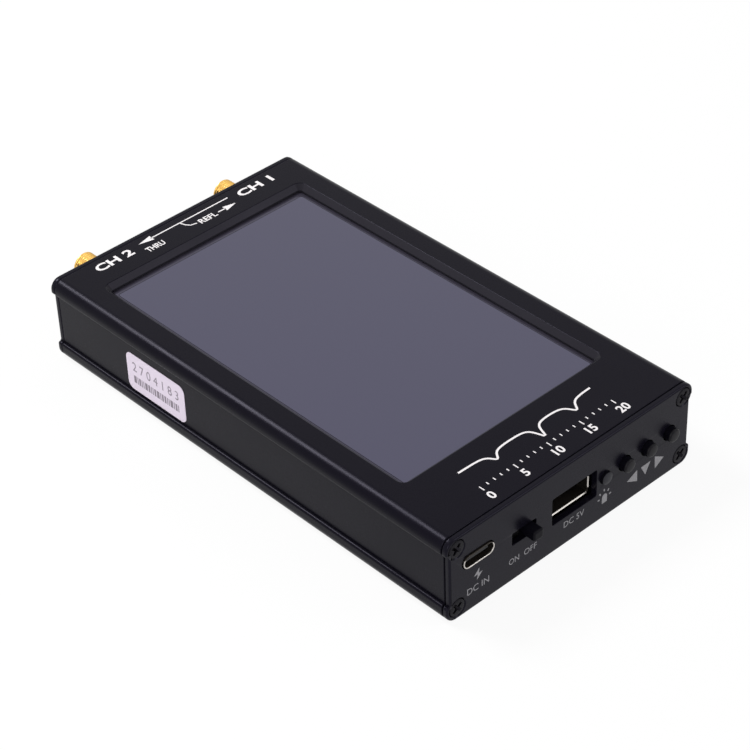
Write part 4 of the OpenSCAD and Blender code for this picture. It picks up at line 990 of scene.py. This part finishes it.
def nutProfile():
    # Bore, face, the chamfered hexagon, face: where the hexagon stands out past the flats it falls back
    p = named(port)
    flats = p.nutFlats / 2
    sector = math.pi / 3
    corner = flats / math.cos(sector / 2) - p.nutCornerLess

    def hexEdge(y, sign):
        def at(angle):
            radius = min(flats / math.cos((angle + sector / 2) % sector - sector / 2), corner)
            past = max(0.0, radius - flats - p.nutChamferIn)
            return radius, y + sign * past * math.tan(math.radians(p.nutChamfer))
        return at

    sides = []
    for y, sign in ((p.nutStartY, 1), (p.nutEndY, -1)):
        sides.append([(p.nutBoreR, y + sign * p.nutBoreEdge), (p.nutBoreR + p.nutBoreEdge, y),
                      (flats - p.nutFaceLess, y), hexEdge(y + sign * p.nutEdge, sign)])
    return sides[0] + sides[1][::-1]


def makePort(name, x, node):
    p = named(port)

    def outward(u, v, y):
        return x + u, y, p.z + v

    bm = bmesh.new()
    turned(bm, outward, barrelProfile(), p.around, closed=True)
    flange = roundedLoop(x, p.z, p.flange, p.flange, p.flangeCorner, 3)
    hole = circleLoop(x, p.z, p.threadR - p.flangeGap)
    roundedPrism(bm, onFront(p.flangeY), flange, p.flangeThick, holes=[hole], edge=p.flangeEdge)
    for side in (-1, 1):
        legX = x + side * (p.flange - p.leg) / 2
        for legZ in (p.z + (p.boardThick + p.leg) / 2, p.z - (p.boardThick + p.leg) / 2):
            addSlab(bm, legX, legZ, p.leg, p.leg, p.flangeY - p.legLong, p.flangeY + p.legSunk, p.legSunk)
    makePiece(name + "Body", bm, ["goldPlate"], [node + "_body"], sharp=32, weighted=False)
    for part, finishName, profile, steps, closed, sharp in (
            ("Insulator", "insulatorWhite", p.insulator, 48, True, 35),
            ("Contact", "goldPlate", p.contact, 32, False, 35),
            ("Washer", "goldPlate", p.washer, 64, True, 35),
            ("Nut", "goldPlate", nutProfile(), 96, True, 28)):
        bm = bmesh.new()
        turned(bm, outward, profile, steps, closed=closed)
        makePiece(name + part, bm, [finishName], [node + "_" + part.lower()], sharp=sharp)


makePort("portOne", 21.7, "port_1")
makePort("portTwo", -21.7, "port_2")
print("ports made")

# Printed marks: plain words, arrows and signs, each laid on its face as thin ink
ink = {"thick": 0.02, "sunk": 0.008, "capitalHigh": 0.69, "fontSteps": 4}


def addWord(bm, place, text, middle, high, wide, bold=0.0, thick=ink["thick"]):
    # Text of a given capital height and width, centred on a point of the face, as flat solids
    curve = bpy.data.curves.new("glyphs", "FONT")
    curve.body, curve.offset, curve.resolution_u = text, bold, ink["fontSteps"]
    holder = bpy.data.objects.new("glyphs", curve)
    scene.collection.objects.link(holder)
    bpy.context.view_layer.update()
    mesh = bpy.data.meshes.new_from_object(holder.evaluated_get(bpy.context.evaluated_depsgraph_get()))
    bpy.data.objects.remove(holder)
    us = [v.co.x for v in mesh.vertices]
    scale = high / ink["capitalHigh"]
    across = wide / (max(us) - min(us)) if wide else scale

    def at(co, depth):
        u = (co.x - (max(us) + min(us)) / 2) * across
        return place(middle[0] + u, middle[1] + (co.y - ink["capitalHigh"] / 2) * scale, depth)

    top, low = ([bm.verts.new(at(v.co, depth)) for v in mesh.vertices] for depth in (-thick, ink["sunk"]))
    for face in mesh.polygons:
        bm.faces.new([top[i] for i in face.vertices])
        bm.faces.new([low[i] for i in reversed(face.vertices)])
    uses = Counter(key for face in mesh.polygons for key in face.edge_keys)
    for a, b in (key for key, count in uses.items() if count == 1):
        bm.faces.new((top[a], top[b], low[b], low[a]))
    bpy.data.meshes.remove(mesh)


def addShape(bm, place, points, thick=ink["thick"]):
    addWalls(bm, place, [[(points, -thick), (points, ink["sunk"])]])


def addStroke(bm, place, path, wide):
    # An open line of even width through the points, drawn as one shape
    left, right = [], []
    for i, (u, v) in enumerate(path):
        before, after = path[max(0, i - 1)], path[min(len(path) - 1, i + 1)]
        du, dv = after[0] - before[0], after[1] - before[1]
        long = math.hypot(du, dv)
        left.append((u - dv / long * wide / 2, v + du / long * wide / 2))
        right.append((u + dv / long * wide / 2, v - du / long * wide / 2))
    addShape(bm, place, right + left[::-1])


# Words are (text, middle, capital height, width, boldness); the dips are (place, depth, width)
topPrint = {
    "words": (("CH 1", (21.5, 60.4), 2.5, 10.6, 0.03), ("CH 2", (-22.0, 60.4), 2.5, 10.6, 0.03),
              ("THRU", (-11.6, 58.0), 1.75, 5.2, 0.02), ("REFL", (4.7, 58.2), 1.75, 5.2, 0.02)),
    "lines": (((13.5, 61.3), (-10.4, 61.3)), ((-1.5, 61.2), (-1.0, 59.7), (-0.2, 58.7), (1.4, 58.3)),
              ((7.9, 58.2), (10.2, 58.2))),
    "tips": (((-10.0, 62.25), (-14.0, 61.3), (-10.0, 60.35)), ((10.0, 57.25), (13.5, 58.2), (10.0, 59.15))),
    "lineWide": 0.34,
    "traceV": -50.8, "traceHalf": 20, "traceSteps": 120, "traceWide": 0.5,
    "dips": ((-11, 2.6, 1.1), (1.5, 4.4, 0.9), (12.5, 3.2, 1.2)),
    "ticks": 20, "tickV": -57.0, "tickLong": 1.5, "tickShort": 0.8, "tickWide": 0.28, "ticksPerNumber": 5,
    "numberV": -60.5, "numberHigh": 2.2, "numberBold": 0.025,
}


def makeTopPrint():
    t = named(topPrint)
    bm = bmesh.new()
    place = onTop(caseTop)
    for word in t.words:
        addWord(bm, place, *word)
    for path in t.lines:
        addStroke(bm, place, path, t.lineWide)
    for corners in t.tips:
        addShape(bm, place, corners)
    # a plain sweep trace with three dips over a scale of ticks with numbers
    trace = []
    for i in range(t.traceSteps + 1):
        u = t.traceHalf * (2 * i / t.traceSteps - 1)
        dips = sum(deep / (1 + ((u - at) / wide) ** 2) for at, deep, wide in t.dips)
        trace.append((u, t.traceV - dips))
    addStroke(bm, place, trace, t.traceWide)
    tickUs = [t.traceHalf * (2 * i / t.ticks - 1) for i in range(t.ticks + 1)]
    for i, u in enumerate(tickUs):
        tall = t.tickShort if i % t.ticksPerNumber else t.tickLong
        addStroke(bm, place, [(u, t.tickV), (u, t.tickV - tall)], t.tickWide)
    for i in range(0, t.ticks + 1, t.ticksPerNumber):
        addWord(bm, place, str(i), (tickUs[i], t.numberV), t.numberHigh, None, t.numberBold)
    makePiece("topPrint", bm, ["topInk"], weighted=False)


platePrint = {
    "words": (("ON", (-17.9, 5.6), 1.55, 3.0), ("OFF", (-13.0, 5.6), 1.55, 3.8),
              ("DC 5V", (0.3, 5.65), 1.6, 6.3), ("DC IN", (-28.5, 5.3), 1.7, 6.4)),
    "marks": (((17.0, 5.6), (20.2, 7.1), (20.35, 3.9)), ((21.45, 7.0), (24.5, 7.1), (22.95, 4.2)),
              ((25.9, 7.5), (28.9, 5.7), (26.1, 4.0))),
    "bolt": ((-28.1, 10.1), (-29.7, 8.5), (-28.6, 8.5), (-28.9, 7.1), (-27.2, 8.75), (-28.25, 8.75)),
    "lamp": (9.85, 5.45), "lampWide": 1.6, "lampHigh": 2.4,
    "rays": ((8.0, 5.85), (8.4, 7.25), (9.7, 7.8), (11.0, 7.15), (11.6, 5.85)), "rayHalf": 0.32,
    "rayWide": 0.36,
}


def makePlatePrint():
    p = named(platePrint)
    bm = bmesh.new()
    place = onFront(plates["frontY"])
    for word in p.words:
        addWord(bm, place, *word)
    for corners in (*p.marks, p.bolt):
        addShape(bm, place, corners)
    u, v = p.lamp
    half, tall = p.lampWide / 2, p.lampHigh / 2
    dome = arcPoints(u, v + tall - half, half, 0, 180, 8)
    addShape(bm, place, [(u - half, v - tall), (u + half, v - tall)] + dome)
    for rayU, rayV in p.rays:
        away = math.atan2(rayV - v, rayU - u)
        du, dv = math.cos(away) * p.rayHalf, math.sin(away) * p.rayHalf
        addStroke(bm, place, [(rayU - du, rayV - dv), (rayU + du, rayV + dv)], p.rayWide)
    makePiece("platePrint", bm, ["plateInk"], weighted=False)


# Side label: pale paper with round corners, a row of made-up digits and a row of bars
label = {
    "faceX": -36.65, "thick": 0.12, "edge": 0.03, "middleY": 28.7, "middleZ": 10.2, "long": 20.4,
    "high": 10.3, "corner": 1.8, "inkThick": 0.012,
    "digits": "2 7 0 4 1 8 3", "digitHigh": 2.5, "digitsZ": 11.9,
    "digitsWide": 16.2, "bars": (3, 1, 2, 1, 1, 3, 2, 1, 1, 2, 3, 1, 2, 2, 1, 1, 3, 1, 2, 1),
    "barUnit": 0.30, "barsLow": 7.3, "barsHigh": 9.3,
}


def makeLabel():
    b = named(label)
    bm = bmesh.new()
    place = onLeft(b.faceX - b.thick)
    outline = roundedLoop(-b.middleY, b.middleZ, b.long, b.high, b.corner, 8)
    roundedPrism(bm, place, outline, b.thick, edge=b.edge, steps=2)
    makePiece("sideLabel", bm, ["labelPaper"], ["side_label"])
    bm = bmesh.new()
    addWord(bm, place, b.digits, (-b.middleY, b.digitsZ), b.digitHigh, b.digitsWide, thick=b.inkThick)
    u = -b.middleY - (sum(b.bars) + len(b.bars) - 1) * b.barUnit / 2
    low, high = b.barsLow, b.barsHigh
    for wide in b.bars:
        end = u + wide * b.barUnit
        addShape(bm, place, [(u, low), (end, low), (end, high), (u, high)], b.inkThick)
        u = end + b.barUnit
    makePiece("labelPrint", bm, ["labelInk"], weighted=False)


makeTopPrint()
makePlatePrint()
makeLabel()
print("prints and label made")

# Inner parts keep their CAD shapes and get their own finishes
innerFinishes = {
    "frameWhite": ("display_panel", "backlight"),
    "foamBlack": ("screen_tape",),
    "flexAmber": ("display_flex", "touch_flex"),
    "socketBlack": ("display_flex_socket", "touch_flex_socket"),
    "boardGreen": ("main_board",),
    # the switch frame's near-black is painted shade in its slot
    "switchSteelPaintedShade": ("power_switch_frame",),
    "switchBlack": ("push_switch_left", "push_switch_middle", "push_switch_right"),
    "batteryFoil": ("battery_pack",),
    "tapeWhite": ("battery_tape",),
    "leadRed": ("battery_leads",),
    "plugCream": ("battery_plug", "battery_socket"),
    "chipBlack": ("processor", "memory_chip", "charger_chip", "boost_inductor", "port_1_mixer",
                  "port_2_mixer"),
    "shieldTin": ("clock_crystal", "port_1_shield", "port_2_shield"),
}
for name, nodes in innerFinishes.items():
    for node in nodes:
        cadNodes[node].data.materials.clear()
        cadNodes[node].data.materials.append(materials[name])
print("inner parts finished")

# Floor, light and camera
studio = {
    "floorSize": 6.0, "floorColour": (0.86, 0.86, 0.86), "floorGlow": 0.91, "worldLevel": 0.5,
    "lamps": (("keyLamp", (-0.75, -0.55, 0.45), 0.5, 3.0), ("fillLamp", (0.55, -0.65, 0.62), 0.35, 1.8),
              ("rearLamp", (-0.175, 0.50, 0.665), 0.28, 5.0)),
    "aim": (0, 0, 0.01),
}


def seenByCamera(tree):
    # 1 where a camera, glossy or transmission ray arrives
    path = add(tree, "LightPath").outputs
    bent = mathNode(tree, "MAXIMUM", path["Is Glossy Ray"], path["Is Transmission Ray"])
    return mathNode(tree, "MAXIMUM", path["Is Camera Ray"], bent)


def emptied(owner):
    owner.use_nodes = True
    owner.node_tree.nodes.clear()
    return owner.node_tree


def makeStudio():
    s = named(studio)
    half = s.floorSize / 2
    corners = [(-half, -half, 0), (half, -half, 0), (half, half, 0), (-half, half, 0)]
    mesh = bpy.data.meshes.new("studioFloor")
    mesh.from_pydata(corners, [], [(0, 1, 2, 3)])
    floor = bpy.data.objects.new("studioFloor", mesh)
    scene.collection.objects.link(floor)
    material = bpy.data.materials.new("paleFloor")
    tree = emptied(material)
    paintNode = add(tree, "BsdfDiffuse", {"Color": (*s.floorColour, 1)})
    glow = add(tree, "Emission", {"Color": (1, 1, 1, 1), "Strength": 1.0})
    share = mathNode(tree, "MULTIPLY", seenByCamera(tree), s.floorGlow)
    mixed = add(tree, "MixShader", {0: share, 1: paintNode.outputs[0], 2: glow.outputs[0]})
    add(tree, "OutputMaterial", {"Surface": mixed.outputs[0]})
    mesh.materials.append(material)

    scene.world = bpy.data.worlds.new("paleRoom")
    tree = emptied(scene.world)
    level = ramp(tree, seenByCamera(tree), 0.0, 1.0, s.worldLevel, 1.0)
    sky = add(tree, "Background", {"Color": (1, 1, 1, 1), "Strength": level})
    add(tree, "OutputWorld", {"Surface": sky.outputs[0]})

    for name, place, size, power in s.lamps:
        lamp = bpy.data.lights.new(name, "AREA")
        lamp.shape, lamp.size, lamp.energy = "SQUARE", size, power
        holder = bpy.data.objects.new(name, lamp)
        holder.location = place
        holder.rotation_mode = "QUATERNION"
        holder.rotation_quaternion = (Vector(s.aim) - Vector(place)).to_track_quat("-Z", "Y")
        scene.collection.objects.link(holder)


# The camera as fitted to the photograph: angles in degrees, lengths in mm, clipping distances in metres
view = {
    "azimuth": -42.07, "elevation": 37.89, "roll": -2.16, "distance": 548.92, "target": (0.13, -4.1, 11.0),
    "lens": 117.144569, "sensor": 36.0, "clip": (0.01, 20.0),
}


def makeCamera():
    az, el, roll = (math.radians(view[key]) for key in ("azimuth", "elevation", "roll"))
    back = Vector((math.sin(az) * math.cos(el), -math.cos(az) * math.cos(el), math.sin(el)))
    across = Vector((math.cos(az), math.sin(az), 0))
    up = back.cross(across)
    right = across * math.cos(roll) + up * math.sin(roll)
    upright = up * math.cos(roll) - across * math.sin(roll)
    camera = bpy.data.cameras.new("photoCamera")
    camera.sensor_width, camera.lens = view["sensor"], view["lens"]
    camera.clip_start, camera.clip_end = view["clip"]
    holder = bpy.data.objects.new("photoCamera", camera)
    holder.matrix_world = Matrix((right, upright, back)).transposed().to_4x4()
    holder.location = (Vector(view["target"]) + back * view["distance"]) * mm
    scene.collection.objects.link(holder)
    scene.camera = holder


makeStudio()
makeCamera()
print("studio and camera made")
